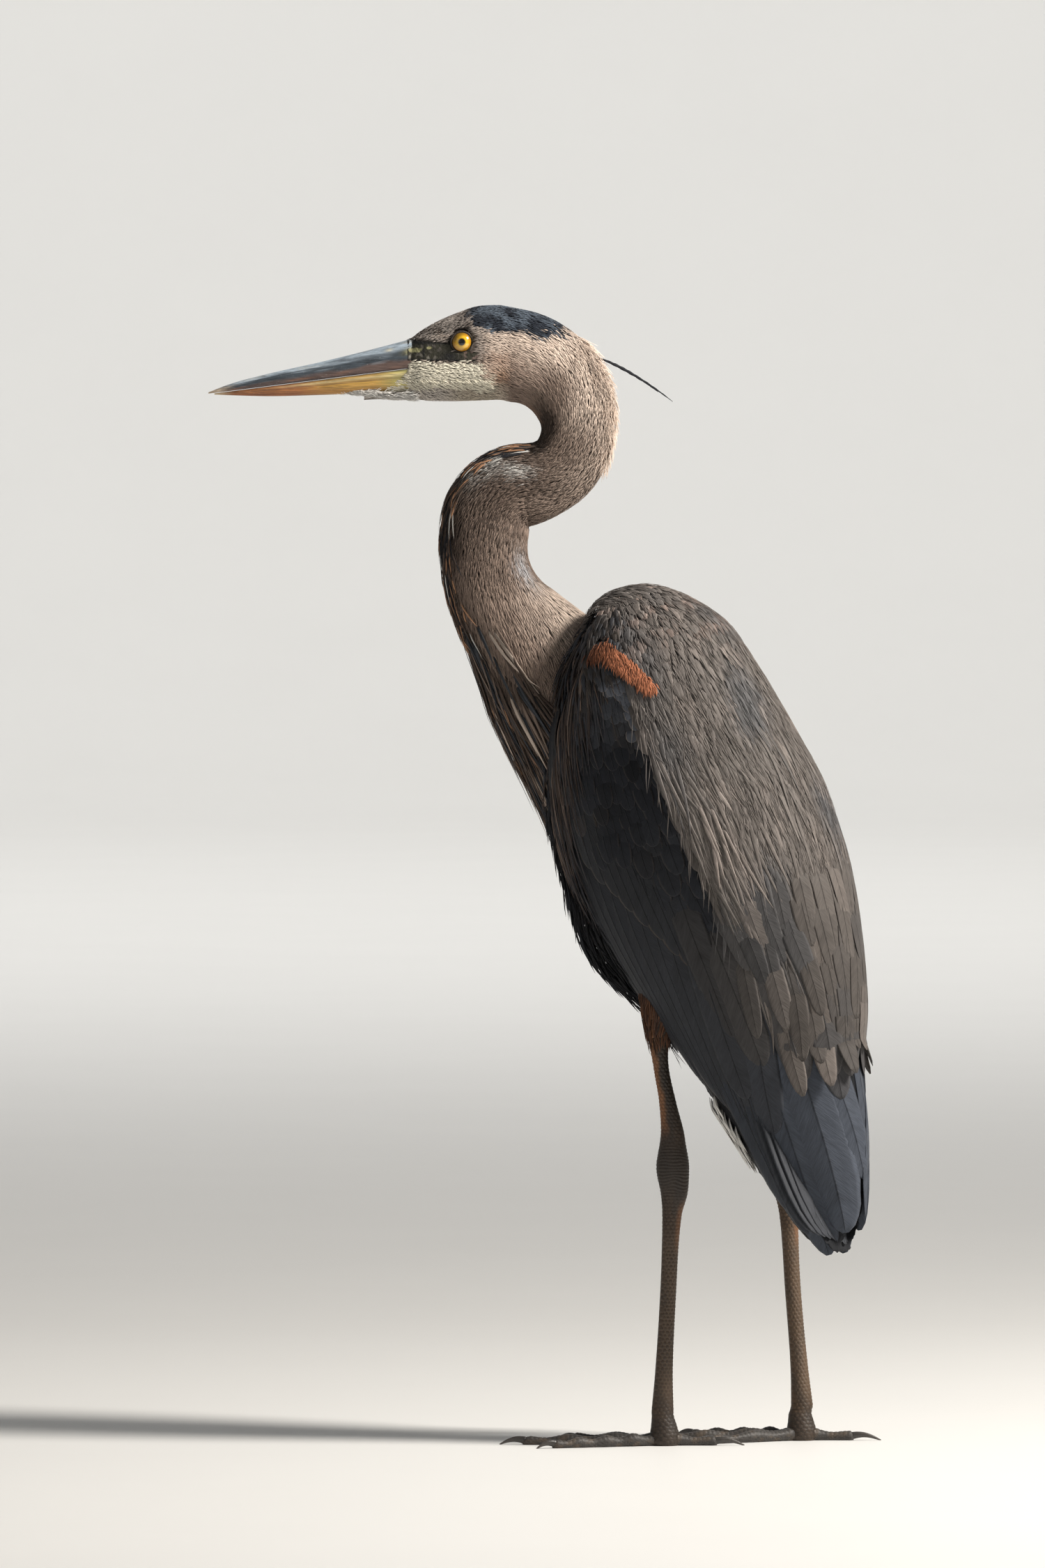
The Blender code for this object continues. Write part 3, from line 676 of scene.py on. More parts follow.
class Coat:
    """Gathers closed feathers and makes one mesh of them, with their colours and their OFBake map."""

    def __init__(self, bounds, rng, patch=(0.003, 0.003)):
        self.bounds, self.rng, self.patch = bounds, rng, patch
        self.rows = {key: [] for key in ("points", "tint", "rim", "vane", "span", "uv")}
        self.quads, self.caps, self.count = [], {}, 0

    def lay(
        self, zone, u, v, length, width, turn, tint, rim=None, vary=0.0, stations=3, kind=TUFT, thick=0.3,
        rise=0.5, wrap=1.0, tip_light=0.35, ease=1.0, **moves
    ):
        """Lays feathers on a zone, which start at u, v, sunk to low, and walk length mm along it.

        On the way they rise to their height, high. turn is their heading, in degrees from tailward towards
        the left side. Of the moves, curl bends it on the way, sway and lift carry the tip aside and off the
        surface as shares of the length, and settle lays it down again. A pair is a range to draw from, and a
        bell is drawn from too, in the order given.
        """
        total, rng, (section, outline) = len(u), self.rng, kind

        def drawn(value):
            value = rng.uniform(*value, total) if isinstance(value, tuple) else value
            value = value(rng, total) if callable(value) else value
            return np.broadcast_to(np.asarray(value, float), (total,))

        length, width, turn = drawn(length), drawn(width), drawn(turn)
        if vary:
            tint = varied(spread(tint, u), rng, vary)
        moves = dict(low=-3.0, high=0.3, curl=0.0, sway=0.0, lift=0.0, settle=0.0) | {
            key: drawn(value) for key, value in moves.items()
        }
        low, high, curl, sway, lift, settle = (drawn(value) for value in moves.values())
        share = 1 - (1 - np.linspace(0, 1, stations + 1)) ** ease
        us, vs = np.empty((total, stations + 1)), np.empty((total, stations + 1))
        us[:, 0], vs[:, 0] = u, v
        for k in range(stations):
            step = length * (share[k + 1] - share[k])
            heading = np.radians(turn + curl * share[k])
            mm_u, mm_v = zone.metric(us[:, k], vs[:, k])
            us[:, k + 1] = us[:, k] + step * np.cos(heading) / mm_u
            vs[:, k + 1] = vs[:, k] + step * np.sin(heading) / mm_v
        normal = zone.normal(us, vs)
        height = low[:, None] + (high - low)[:, None] * np.sin(np.clip(share / rise, 0, 1) * math.pi / 2)
        height = height + length[:, None] * (lift[:, None] * share**2) - settle[:, None] * share**3
        spine = zone.point(us, vs) + normal * height[..., None]
        forward = unit(np.gradient(spine, axis=1))
        aside = unit(np.cross(normal, forward))
        spine = spine + aside * (sway * length)[:, None, None] * (share**2)[None, :, None]
        forward = unit(np.gradient(spine, axis=1))
        aside = unit(np.cross(normal, forward))
        upward = unit(np.cross(forward, aside))
        half = width[:, None] / 2 * outline(share)[None]
        ragged = 0.015 if section is VANE else 0.06
        half = half * (1 + ragged * rng.standard_normal(half.shape))
        radius = np.clip(zone.metric(us, vs)[1] * 180 / math.pi, 8.0, None)
        across = half[..., None] * section[:, 0]
        raised = section[:, 1] * thick * np.minimum(1, half / (width[:, None] * 0.25))[..., None]
        raised = raised - wrap * across**2 / (2 * radius[..., None])
        points = spine[:, :, None] + aside[:, :, None] * across[..., None]
        points = points + upward[:, :, None] * raised[..., None]
        corners = len(section)
        shape = (total, stations + 1, corners)
        chance = np.broadcast_to(rng.uniform(0, 1, total)[:, None, None], shape)
        along_share = np.broadcast_to(share[None, :, None], shape)
        side = np.broadcast_to(section[:, 0], shape)
        vane = places(side, along_share, chance)
        span = places(across, along_share * length[:, None, None], chance)
        tone = (1 - tip_light + 1.4 * tip_light * along_share)[..., None]
        tint = np.broadcast_to(tint[:, None, None], (*shape, 3)) * tone
        rim = tint if rim is None else np.broadcast_to(rim[:, None, None], (*shape, 3)) * tone
        u0, u1, v0, v1 = self.bounds
        seat = places((v - v0) / (v1 - v0), (u - u0) / (u1 - u0)) * 0.94 + 0.03
        wide, tall = self.patch
        uv = seat[:, None, None] + places(side * wide / 2, (along_share - 0.5) * tall)
        for key, values in zip(self.rows, (points, tint, rim, vane, span, np.clip(uv, 0.001, 0.999))):
            self.rows[key].append(values.reshape(-1, values.shape[-1]))
        i, k, j = np.meshgrid(np.arange(total), np.arange(stations), np.arange(corners), indexing="ij")
        start, after = self.count + i * (stations + 1) * corners + k * corners, (j + 1) % corners
        quads = places(start + j, start + corners + j, start + corners + after, start + after)
        self.quads.append(quads.reshape(-1, 4))
        base = self.count + np.arange(total)[:, None] * (stations + 1) * corners
        tips = base + stations * corners + np.arange(corners)[::-1]
        self.caps.setdefault(corners, []).extend((base + np.arange(corners), tips))
        self.count += total * (stations + 1) * corners

    def make(self, name, maker, slot):
        """Makes the coat's piece, with what barbed feathers need unless all its feathers are down."""
        faces = [np.concatenate(self.quads)] + [np.concatenate(group) for group in self.caps.values()]
        triangles = 2 * len(faces[0]) + sum(len(group) * (group.shape[1] - 2) for group in faces[1:])
        if triangles >= MOST_TRIANGLES:
            raise RuntimeError(f"{name} has {triangles} triangles; a coat piece stays under {MOST_TRIANGLES}")
        rows = {key: np.concatenate(values) for key, values in self.rows.items()}
        barbs = {}
        if maker is not down_material:
            barbs = dict(rim=opaque(rows["rim"]), vane=rows["vane"], span=rows["span"])
        print(f"coat {name}: {triangles} triangles")
        make_piece(name, rows["points"], rows["tint"], faces, maker, slot, uv=rows["uv"], **barbs)


def rows_of(zone, start, end, reach, gap_u, gap_v, rng, jitter=0.33):
    """Roots in staggered rows over a zone: reach(u) gives the row's (low, high) v, the gaps are mm."""
    us, vs, u, index = [], [], float(start), 0
    gap = lambda table, at: float(along(table, at)[0]) if hasattr(table, "__len__") else float(table)
    while u < end:
        low, high = reach(u)
        probe = np.linspace(low, high, 33)
        mm_u, mm_v = zone.metric(np.full(33, u), probe)
        arc = np.concatenate(([0], np.cumsum((mm_v[1:] + mm_v[:-1]) / 2 * np.diff(probe))))
        count = max(1, int(round(arc[-1] / gap(gap_v, u))))
        place = (np.arange(count) + 0.25 + 0.5 * (index % 2) + rng.uniform(-jitter, jitter, count)) / count
        vs.append(np.interp(place * arc[-1], arc, probe))
        us.append(u + rng.uniform(-jitter, jitter, count) * gap(gap_u, u) / mm_u.mean())
        u += gap(gap_u, u) / max(mm_u.mean(), 0.4)
        index += 1
    return np.concatenate(us), np.concatenate(vs)


# ---- Markings: the colours of skin and coat, linear, by their place on the bird ----
def colour_of(*rgb):
    return np.array(rgb, float)


FAWN = colour_of(0.25, 0.185, 0.150)
FAWN_PALE = colour_of(0.66, 0.54, 0.455)
FAWN_DARK = colour_of(0.105, 0.075, 0.060)
CAP_BLACK = colour_of(0.022, 0.027, 0.038)
# The cap's slate with a painted sheen.
CAP_BLUE = colour_of(0.105, 0.13, 0.165)
BROW_GREY = colour_of(0.24, 0.21, 0.19)
CHEEK_WHITE = colour_of(0.80, 0.75, 0.62)
THROAT = colour_of(0.52, 0.45, 0.36)
RUFOUS = colour_of(0.33, 0.18, 0.105)
CHESTNUT = colour_of(0.30, 0.112, 0.058)
INK = colour_of(0.010, 0.010, 0.012)
LORE_DARK = colour_of(0.045, 0.042, 0.028)
LORE_LIME = colour_of(0.62, 0.58, 0.30)
MANTLE = colour_of(0.135, 0.119, 0.109)
MANTLE_PALE = colour_of(0.24, 0.205, 0.185)
MANTLE_BLUE = colour_of(0.075, 0.081, 0.092)
SLATE = colour_of(0.055, 0.059, 0.069)
SLATE_BROWN = colour_of(0.070, 0.058, 0.050)
SLATE_DARK = colour_of(0.014, 0.0155, 0.020)
WHITE = colour_of(0.66, 0.64, 0.61)
THIGH = colour_of(0.085, 0.040, 0.022)
CAP_EDGE = (
    (-154, 776), (-149.8, 772.5), (-137.3, 763.6), (-124.8, 764.6), (-112.3, 765.6), (-104.2, 761.8),
    (-93.6, 762.2), (-84, 763), (-76, 766)
)


def blend(one, other, share):
    return one + (other - one) * np.clip(share, 0, 1)[..., None]


def layers(tint, *coats):
    """Colours laid one over another, each where its share says."""
    for colour, share in coats:
        tint = blend(tint, colour, share)
    return tint


def spread(colour, like):
    return np.broadcast_to(colour, (*np.shape(like), 3)).copy()


def bump_at(x, y, centre, reach):
    """1 at a centre, fading to 0 over a reach in x and y."""
    return np.exp(-(((x - centre[0]) / reach[0]) ** 2) - ((y - centre[1]) / reach[1]) ** 2)


def cheek_share(x, z):
    """The whitish cheek: from the bill's base back under the eye, with a ragged lower edge."""
    low = 730.5 - 7.5 * soft(x, -158, -138) + 1.6 * ripple(x, z * 0.3, 5, 12)
    rear = -134 - 0.35 * (z - 722) + 3.0 * ripple(z, x, 5, 13)
    return soft(z - low, -1, 1) * soft(rear - x, -4, 4) * soft(-z, -745.2, -744.2)


def neck_tint(u, v):
    """The head's and neck's colour, with painted shade down the neck's middle, in its first bend and at its
    base, and a painted sheen on the cap.
    """
    u, v = grids(u, v)
    place = NECK.point(u, v)
    x, z = place[..., 0], place[..., 2]
    off = abs((v + 180) % 360 - 180)
    blotch = ripple(u, v * 0.5, 26, 1)
    tint = blend(FAWN, FAWN_PALE, soft(92 - off + 12 * blotch, -22, 40) * soft(-u, -150, -20) * 0.95)
    tint = layers(
        tint,
        (FAWN_PALE * 0.9, 0.75 * soft(u, 205, 245) * soft(85 - off + 10 * blotch, 0, 50)),
        (FAWN_DARK, 0.35 * soft(ripple(u, v, 34, 5), 0.15, 0.9)),
        # Painted shade: the neck's middle, away from the nape, is darker where the head and upper neck shade
        # it.
        (FAWN_DARK * 1.15, 0.75 * soft(u, 96, 122) * soft(-u, -225, -185) * soft(off + 14 * blotch, 52, 96)),
        # Partly the dark foreneck streak, partly painted shade in the inner side of the first bend.
        (FAWN_DARK * 0.4, 0.95 * soft(u, 12, 50) * soft(-u, -116, -98) * soft(off + 5 * blotch, 118, 134)),
        (FAWN * colour_of(1.0, 0.85, 0.75), 0.7 * soft(-u, -64, -40) * soft(u, 0, 30) * soft(off, 150, 164)),
        (FAWN_DARK * 0.45, 0.9 * soft(u, 140, 152) * soft(off + 12 * blotch, 118, 148)),
    )
    pale = bump_at(u, off, (145, 140), (9, 17)) + bump_at(u, off, (125, 108), (8, 9))
    pale = pale + bump_at(u, off, (134, 118), (5, 8))
    tint = layers(
        tint,
        (WHITE, 0.95 * pale * soft(ripple(u, v * 0.6, 6, 6), -1.0, 0.0)),
        (WHITE * colour_of(0.85, 0.9, 1.0), 0.7 * bump_at(u, off, (204, 34), (19, 11))),
    )
    # Painted shade over the neck's own darker streaks: the neck's base turns dark slate and dark fawn where
    # the wing's shoulder shades it.
    low = soft(u + 0.45 * (off - 90) + 10 * blotch, 292, 322) * soft(off, 50, 85)
    tint = layers(
        tint,
        (blend(SLATE * 1.1, FAWN_DARK * 0.8, soft(blotch, -0.3, 0.5)), 0.9 * low),
        (RUFOUS * 0.9, 0.7 * soft(off, 146, 156) * soft(u, 100, 110) * soft(-u, -150, -138)),
    )
    head = soft(-u, 4, 14)
    side = blend(FAWN_PALE * 0.95, FAWN, 0.6 * soft(blotch, -0.2, 0.9))
    side = layers(
        side,
        (RUFOUS * 1.1, 0.8 * bump_at(x, z, (-125, 735), (13, 9))),
        (FAWN * colour_of(1.25, 1.0, 0.85), 0.6 * bump_at(x, z, (-128, 747), (14, 5))),
    )
    under = blend(THROAT, THROAT * colour_of(1.1, 1.15, 1.3), soft(-x, 150, 175))
    side = layers(
        side,
        (under, soft(-z, -731, -728) * soft(-x, 118, 134)),
        (CHEEK_WHITE, cheek_share(x, z)),
        (BROW_GREY * 1.1, soft(-x, 134, 146) * soft(z, 745, 749) * 0.85),
    )
    brow = blend(BROW_GREY, FAWN_DARK * 0.55, soft(ripple(x, v * 0.28, 5, 9), 0.0, 0.8))
    brow = layers(
        brow,
        (BROW_GREY * 2.2, 0.6 * soft(ripple(x, v * 0.3, 6, 11), 0.1, 0.9) * soft(z, 766, 774)),
        (FAWN_PALE, 0.6 * bump_at(x, z, (-168, 761.5), (7, 1.6))),
    )
    side = blend(side, brow, soft(-x, 147, 152) * soft(z, 757, 763))
    tint = blend(tint, side, head)
    edge = np.interp(x, *np.array(CAP_EDGE).T) + 1.6 * ripple(x, z, 7, 3)
    capped = soft(z - edge, -1.2, 1.2) * soft(x, -155, -149) * soft(-x, 76, 82)
    # Painted sheen over the cap's own slate mottling: the cap grows paler blue towards its top.
    cap = blend(CAP_BLACK, CAP_BLUE, soft(ripple(x, v * 0.4, 11, 4) + 0.07 * (z - edge - 7), -0.3, 0.8))
    tint = blend(tint, cap, capped)
    line = ridge(z - gape_height(x), 0.8) * soft(-x, 132, 140) * soft(x, -193, -188)
    return blend(tint, INK, line)


def gape_height(x):
    """Where the line of the mouth runs back across the face."""
    return 745.4 - 0.02 * (x + 160) + 2.5 * soft(x, -148, -132)


def lore_share(x, z):
    """Where the face is bare: before and under the eye."""
    before = soft(-x, 160, 163) * soft(z, 744.5, 746) * soft(759.6 - 0.1 * (x + 190) - z, -1, 1)
    under = soft(x, -166, -163) * soft(-x, 141, 147) * soft(z, 744.5, 746) * soft(-z, -752, -750.5)
    return np.maximum(before, under)


def lore_tint(x, z):
    mottle = ripple(x, z, 3.2, 21)
    tint = blend(LORE_DARK, BROW_GREY * 0.6, 0.6 * soft(mottle, 0.0, 0.9) * soft(-x, 164, 172))
    tint = layers(
        tint,
        (CHEEK_WHITE * 0.45, 0.5 * soft(mottle, 0.2, 1.0) * soft(-x, 168, 178) * soft(-z, -751, -748.5)),
        (colour_of(0.40, 0.27, 0.24), 0.7 * soft(ripple(x, z, 2.0, 22), 0.3, 0.8) * soft(x, -156, -150)),
    )
    patches = bump_at(x, z, (-187.0, 752.6), (6.0, 2.1)) + 0.75 * bump_at(x, z, (-177, 754.2), (3.2, 1.5))
    tint = blend(tint, LORE_LIME * 0.75, 0.85 * soft(patches + 0.12 * mottle, 0.42, 0.75))
    dark = ridge(z - 758.0, 1.5) * soft(-x, 160, 168) + bump_at(x, z, (-163, 748.4), (6, 3.2))
    dark = dark + ridge(z - gape_height(x), 0.8) + bump_at(x, z, (-181.3, 751), (0.9, 4))
    return blend(tint, INK, 0.9 * dark)


def back_tint(s, v):
    """The mantle's colour."""
    s, v = grids(s, v)
    tint = blend(MANTLE, MANTLE_BLUE, 0.6 * soft(ripple(s * 0.7, v, 38, 31), 0.0, 1.0))
    tint = blend(tint, tint * 0.72, soft(s, 20, 110))
    tint = blend(tint, MANTLE_PALE, 0.5 * soft(ripple(s, v * 1.6, 16, 33), 0.2, 1.0))
    scallop = soft(ripple(s * 1.6, v * 0.7, 9, 35), 0.2, 0.9) * soft(-s, 92, 112)
    return layers(
        tint,
        (MANTLE_PALE * colour_of(1.1, 0.95, 0.9), 0.55 * scallop),
        (MANTLE_BLUE * 0.8, 0.6 * bump_at(s, abs(v), (-122, 70), (14, 9))),
    )


def wrist_share(s, v):
    """The chestnut at the bend of the wing: a band that bows back over the wrist, and a duller lobe."""
    turn = abs(v)
    middle = np.interp(s, (-112, -95, -87, -75), (80, 70.5, 66.5, 63.5))
    band = soft(5.2 - abs(turn - middle), -1, 1) * soft(s, -114, -109) * soft(-s, 71, 75)
    return band, bump_at(s, turn, (-112, 87), (8, 9)) * 1.6


def wing_tint(s, v):
    s, v = grids(s, v)
    turn = abs(v)
    # The folded wing's slate is set far darker than its real blue-grey: partly painted shade, as the wing's
    # side faces away from the key light.
    tint = blend(SLATE_DARK * 1.5, SLATE * 0.8, soft(ripple(s, v, 40, 41), -0.2, 0.9))
    tint = layers(
        tint,
        (SLATE_BROWN * 0.6, 0.6 * soft(ripple(s, v, 30, 42), 0.1, 0.9)),
        # Painted shade: a darker band along the middle of the wing's side, below the bend.
        (SLATE_DARK * 0.8, 0.8 * soft(-abs(turn - 92), -34, -8) * soft(-s, -110, -60) * soft(s, -70, -30)),
        (SLATE * 1.9, 0.85 * bump_at(s, turn, (-86, 82), (13, 10))),
        (SLATE * 1.9, 0.7 * bump_at(s, turn, (-58, 79), (13, 5))),
        # Painted shade: a darker spot on the wing before its bend.
        (SLATE * 0.7, 0.8 * bump_at(s, turn, (-118, 98), (14, 12))),
    )
    band, lobe = wrist_share(s, v)
    return blend(blend(tint, CHESTNUT * 0.5, lobe), CHESTNUT, band)


def flank_tint(s, v):
    s, v = grids(s, v)
    tint = blend(INK, SLATE_DARK, soft(ripple(s, v, 20, 51), 0.2, 1.0))
    front = blend(SLATE * 0.85, FAWN_DARK, soft(ripple(s, v, 14, 52), -0.2, 0.8))
    return blend(tint, front, soft(-s, 15, 75))


def body_coordinates(points):
    """(s, v, share of the trunk's radius) of places in the plan."""
    offset = points - BODY_CENTRE
    s, back, left = offset @ TAILWARD, offset @ BACKWARD, offset @ LEFTWARD
    deep_back, deep_belly, wide = along(WING, s)
    deep = np.where(back > 0, deep_back, deep_belly)
    v = np.degrees(np.arctan2(left / wide, back / deep))
    return s, v, np.hypot(left / wide, back / deep)


def neck_coordinates(points):
    """(u, v, share of the neck's radius) of places in the plan, by the neck's nearest ring."""
    line = NECK_LINE[:415:3]
    gap = (points[:, None, [0, 2]] - line[None, :, :2]) ** 2
    near = gap.sum(-1).argmin(1)
    u = near * 3.0
    heading = np.radians(line[near, 2])
    x, z = points[:, 0] - line[near, 0], points[:, 2] - line[near, 1]
    rise = -np.sin(heading) * x + np.cos(heading) * z
    u = u + np.cos(heading) * x + np.sin(heading) * z
    aside = neck_plane(u) - points[:, 1]
    deep, wide = along(NECK_GIRTH, u)
    return u, np.degrees(np.arctan2(aside / wide, rise / deep)), np.hypot(rise / deep, aside / wide)


# ---- The skin ----
FLESH = (
    "head", "chin", "neck_nape", "neck_upper", "neck_bend", "neck_lower", "neck_base", "breast", "trunk",
    "cape", "vent", "tail", "leg_left_thigh", "leg_right_thigh"
)
WING_LENGTHS = ("shoulder", "coverts", "secondaries", "tip")


def flesh_nodes():
    return [*FLESH, *(f"wing_{side}_{part}" for side in SIDES for part in WING_LENGTHS)]


def evaluated_mesh(obj):
    bpy.context.view_layer.update()
    return bpy.data.meshes.new_from_object(obj.evaluated_get(bpy.context.evaluated_depsgraph_get()))


def mesh_arrays(data):
    points = np.empty(len(data.vertices) * 3)
    data.vertices.foreach_get("co", points)
    return points.reshape(-1, 3)


def largest_island(data):
    """The vertices of the mesh's biggest connected part, as a mask."""
    edges = np.empty(len(data.edges) * 2, np.int32)
    data.edges.foreach_get("vertices", edges)
    edges = edges.reshape(-1, 2)
    label = np.arange(len(data.vertices))
    while True:
        low = np.minimum(label[edges[:, 0]], label[edges[:, 1]])
        fresh = label.copy()
        np.minimum.at(fresh, edges[:, 0], low)
        np.minimum.at(fresh, edges[:, 1], low)
        fresh = fresh[fresh]
        if (fresh == label).all():
            break
        label = fresh
    return label == np.bincount(label).argmax()


def coat_depth(points):
    """How far under the solids' surface the skin lies."""
    s, _, _ = body_coordinates(points)
    u, _, near = neck_coordinates(points)
    body = np.interp(s, (-150, 150, 230, 320), (4.5, 4.0, 1.2, 0.8))
    neck = np.interp(u, (-60, 0, 60, 260, 400), (0.75, 1.0, 1.2, 1.9, 3.5))
    on_neck = (near < NEAR_NECK) & (points[:, 2] > NECK_FOOT)
    legs = points[:, 2] < THIGH_TOP
    return np.where(on_neck, neck, np.where(legs & (s < 200) & (near > 3), np.minimum(body, 3.0), body))


def skin_tint(points):
    u, v, near = neck_coordinates(points)
    s, turn, _ = body_coordinates(points)
    x, z = points[:, 0], points[:, 2]
    face = (x < NECK_START[0]) & (z > FACE_FOOT)
    head_u = np.where(face, x - NECK_START[0], u)
    top, bottom, half = along(HEAD, x)
    head_v = np.degrees(
        np.arctan2((HEAD_PLANE_Y - points[:, 1]) / half, (z - (top + bottom) / 2) / ((top - bottom) / 2))
    )
    tint = neck_tint(head_u, np.where(face, head_v, v))
    tint = blend(tint, lore_tint(x, z), lore_share(x, z) * face)
    body = blend(back_tint(s, turn), wing_tint(s, turn), soft(abs(turn), 66, 74))
    body = layers(
        body,
        (flank_tint(s, turn), soft(abs(turn), 148, 156)),
        (SLATE_DARK, soft(s, 190, 225)),
    )
    on_neck = ((near < NEAR_NECK) & (z > NECK_FOOT)) | face
    tint = np.where(on_neck[:, None], tint, body * 0.7)
    thigh = (z < THIGH_TOP) & (s < 120) & (abs(turn) > 150)
    return np.where(thigh[:, None], THIGH * 0.7, tint)


class HERON_OT_skin(bpy.types.Operator):
    """Make one skin over all the flesh, sunk by the depth of the coat"""

    bl_idname = "heron.skin"
    bl_label = "Skin"

    def execute(self, context):
        sizes = context.scene.heron_sizes
        points, faces, count = [], [], 0
        for name in flesh_nodes():
            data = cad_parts[name].data
            points.append(mesh_arrays(data))
            faces += [[count + i for i in polygon.vertices] for polygon in data.polygons]
            count += len(data.vertices)
        data = bpy.data.meshes.new("flesh")
        data.from_pydata(np.concatenate(points).tolist(), [], faces)
        flesh = bpy.data.objects.new("flesh", data)
        context.scene.collection.objects.link(flesh)
        swell = flesh.modifiers.new("swell", "DISPLACE")
        swell.strength, swell.mid_level = SWELL * MM, 0.0
        join = flesh.modifiers.new("join", "REMESH")
        join.mode, join.voxel_size = "VOXEL", sizes.skin_grain
        ease = flesh.modifiers.new("ease", "SMOOTH")
        ease.factor, ease.iterations = 0.5, 6
        made = evaluated_mesh(flesh)
        bpy.data.objects.remove(flesh)
        keep = largest_island(made)
        points = mesh_arrays(made) / MM - ANCHOR
        normals = np.empty(len(made.vertices) * 3)
        made.vertex_normals.foreach_get("vector", normals)
        points = points - normals.reshape(-1, 3) * (coat_depth(points) + SWELL)[:, None]
        polygons = np.array([polygon.vertices[:] for polygon in made.polygons])
        polygons = polygons[keep[polygons].all(1)]
        index = np.cumsum(keep) - 1
        tint = skin_tint(points)
        faces = [index[polygons]]
        make_piece("skin", points[keep], tint[keep], faces, skin_material, "plumage_fawn", flesh_nodes())
        return {"FINISHED"}


# ---- Head and neck feathers ----
def all_round(u):
    return -180.0, 180.0


def varied(tint, rng, amount=0.16):
    return tint * (1 + amount * rng.standard_normal((len(tint), 1)))


def away_from_eye(points):
    return np.hypot(points[..., 0] - EYE_CENTRE[0], points[..., 2] - EYE_CENTRE[1])


def slab(front, back):
    """A thin closed sheet between two grids of places."""
    index = np.arange(front.shape[0] * front.shape[1]).reshape(front.shape[:2])
    quads = places(index[:-1, :-1], index[1:, :-1], index[1:, 1:], index[:-1, 1:]).reshape(-1, 4)
    rim = np.concatenate((index[:, 0], index[-1, 1:], index[-2::-1, -1], index[0, -2:0:-1]))
    walls = places(np.roll(rim, -1), rim, rim + index.size, np.roll(rim, -1) + index.size)
    points = np.concatenate((front.reshape(-1, 3), back.reshape(-1, 3)))
    return points, np.concatenate((quads, quads[:, ::-1] + index.size, walls))


class HERON_OT_head_feathers(bpy.types.Operator):
    """Lay the small feathers of the face, cap, cheeks and throat, and the bare skin before the eyes"""

    bl_idname = "heron.head_feathers"
    bl_label = "Head feathers"

    def execute(self, context):
        self.face(np.random.default_rng(11))
        self.lores()
        return {"FINISHED"}

    def face(self, rng):
        """The small feathers, and longer pale ones along the cheek's lower edge."""
        u, v = rows_of(NECK, -78.5, -2, all_round, 1.2, 1.05, rng)
        place = NECK.point(u, v)
        x, z = place[:, 0], place[:, 2]
        bare = (lore_share(x + 2.5, z) > 0.4) | ((x < -187) & (z > 744.5) & (z < 757))
        beside = abs(place[:, 1] - HEAD_PLANE_Y) > 6
        keep = ~bare & (away_from_eye(place + np.array((2.0, 0, 0))) > np.where(beside, 9.4, 0))
        u, v, place = u[keep], v[keep], place[keep]
        length = rng.uniform(3.4, 5.8, len(u))
        tint = neck_tint(u + length * 0.4 + rng.normal(0, 1.3, len(u)), v + rng.normal(0, 2.2, len(u)))
        tint = varied(tint, rng, 0.08)
        down = soft(abs(v), 60, 110) * soft(-abs(v), -176, -150)
        coat = Coat((-80, 10, -180, 180), rng)
        coat.lay(
            NECK, u, v, length, rng.uniform(0.8, 1.15, len(u)),
            np.sign(v) * down * 14 + rng.normal(0, 7, len(u)), tint, low=-1.0, high=(0.05, 0.24), stations=2,
            thick=0.1, lift=(0.0, 0.015), tip_light=0.14
        )
        edge = (place[:, 2] < 732.5) & (place[:, 2] > 727) & (place[:, 0] < -136) & (rng.random(len(u)) < 0.7)
        total = edge.sum()
        coat.lay(
            NECK, u[edge], v[edge], rng.uniform(4, 6.5, total), rng.uniform(0.6, 1.0, total),
            np.sign(v[edge]) * rng.uniform(15, 45, total), spread(CHEEK_WHITE, u[edge]), low=-0.6, high=0.7,
            thick=0.2, lift=0.04, tip_light=0.1
        )
        coat.make("face_feathers", down_material, "face")

    def lores(self):
        """The bare skin before each eye."""
        x, z = np.meshgrid(np.arange(-192, -137.5, 0.45), np.arange(743, 762.5, 0.45), indexing="ij")
        top, bottom, _ = along(HEAD, x)
        v = np.degrees(np.arccos(np.clip((2 * z - top - bottom) / (top - bottom), -0.995, 0.995)))
        away = np.hypot(x - EYE_CENTRE[0], z - EYE_CENTRE[1])
        deep = -1.6 + 1.35 * soft(lore_share(x, z), 0.2, 0.6) * soft(away, 7.4, 8.6)
        deep = deep + 0.10 * ripple(x, z, 1.6, 23) + 0.10 * ripple(x, z, 0.9, 24)
        for side, hand in SIDES.items():
            seat, out = NECK.point(x - NECK_START[0], v * hand), NECK.normal(x - NECK_START[0], v * hand)
            points, faces = slab(seat + out * deep[..., None], seat - out * 2.6)
            tint = np.tile(lore_tint(x, z).reshape(-1, 3), (2, 1))
            make_piece(f"lores_{side}", points, tint, mirrored([faces], hand < 0), lid_material, "face")


def neck_flow(u, v):
    """The heading of the neck's feathers: down it, and round towards the foreneck."""
    lean = np.interp(u, (-20, 30, 100, 150, 230, 300, 400), (4, 12, 8, 6, 16, 14, 6))
    return np.sign(v) * lean * soft(abs(v), 10, 50) * soft(-abs(v), -178, -140)


def clear_of_body(points, margin=1.0):
    s, _, share = body_coordinates(points)
    return (share > margin) | (s < -125)


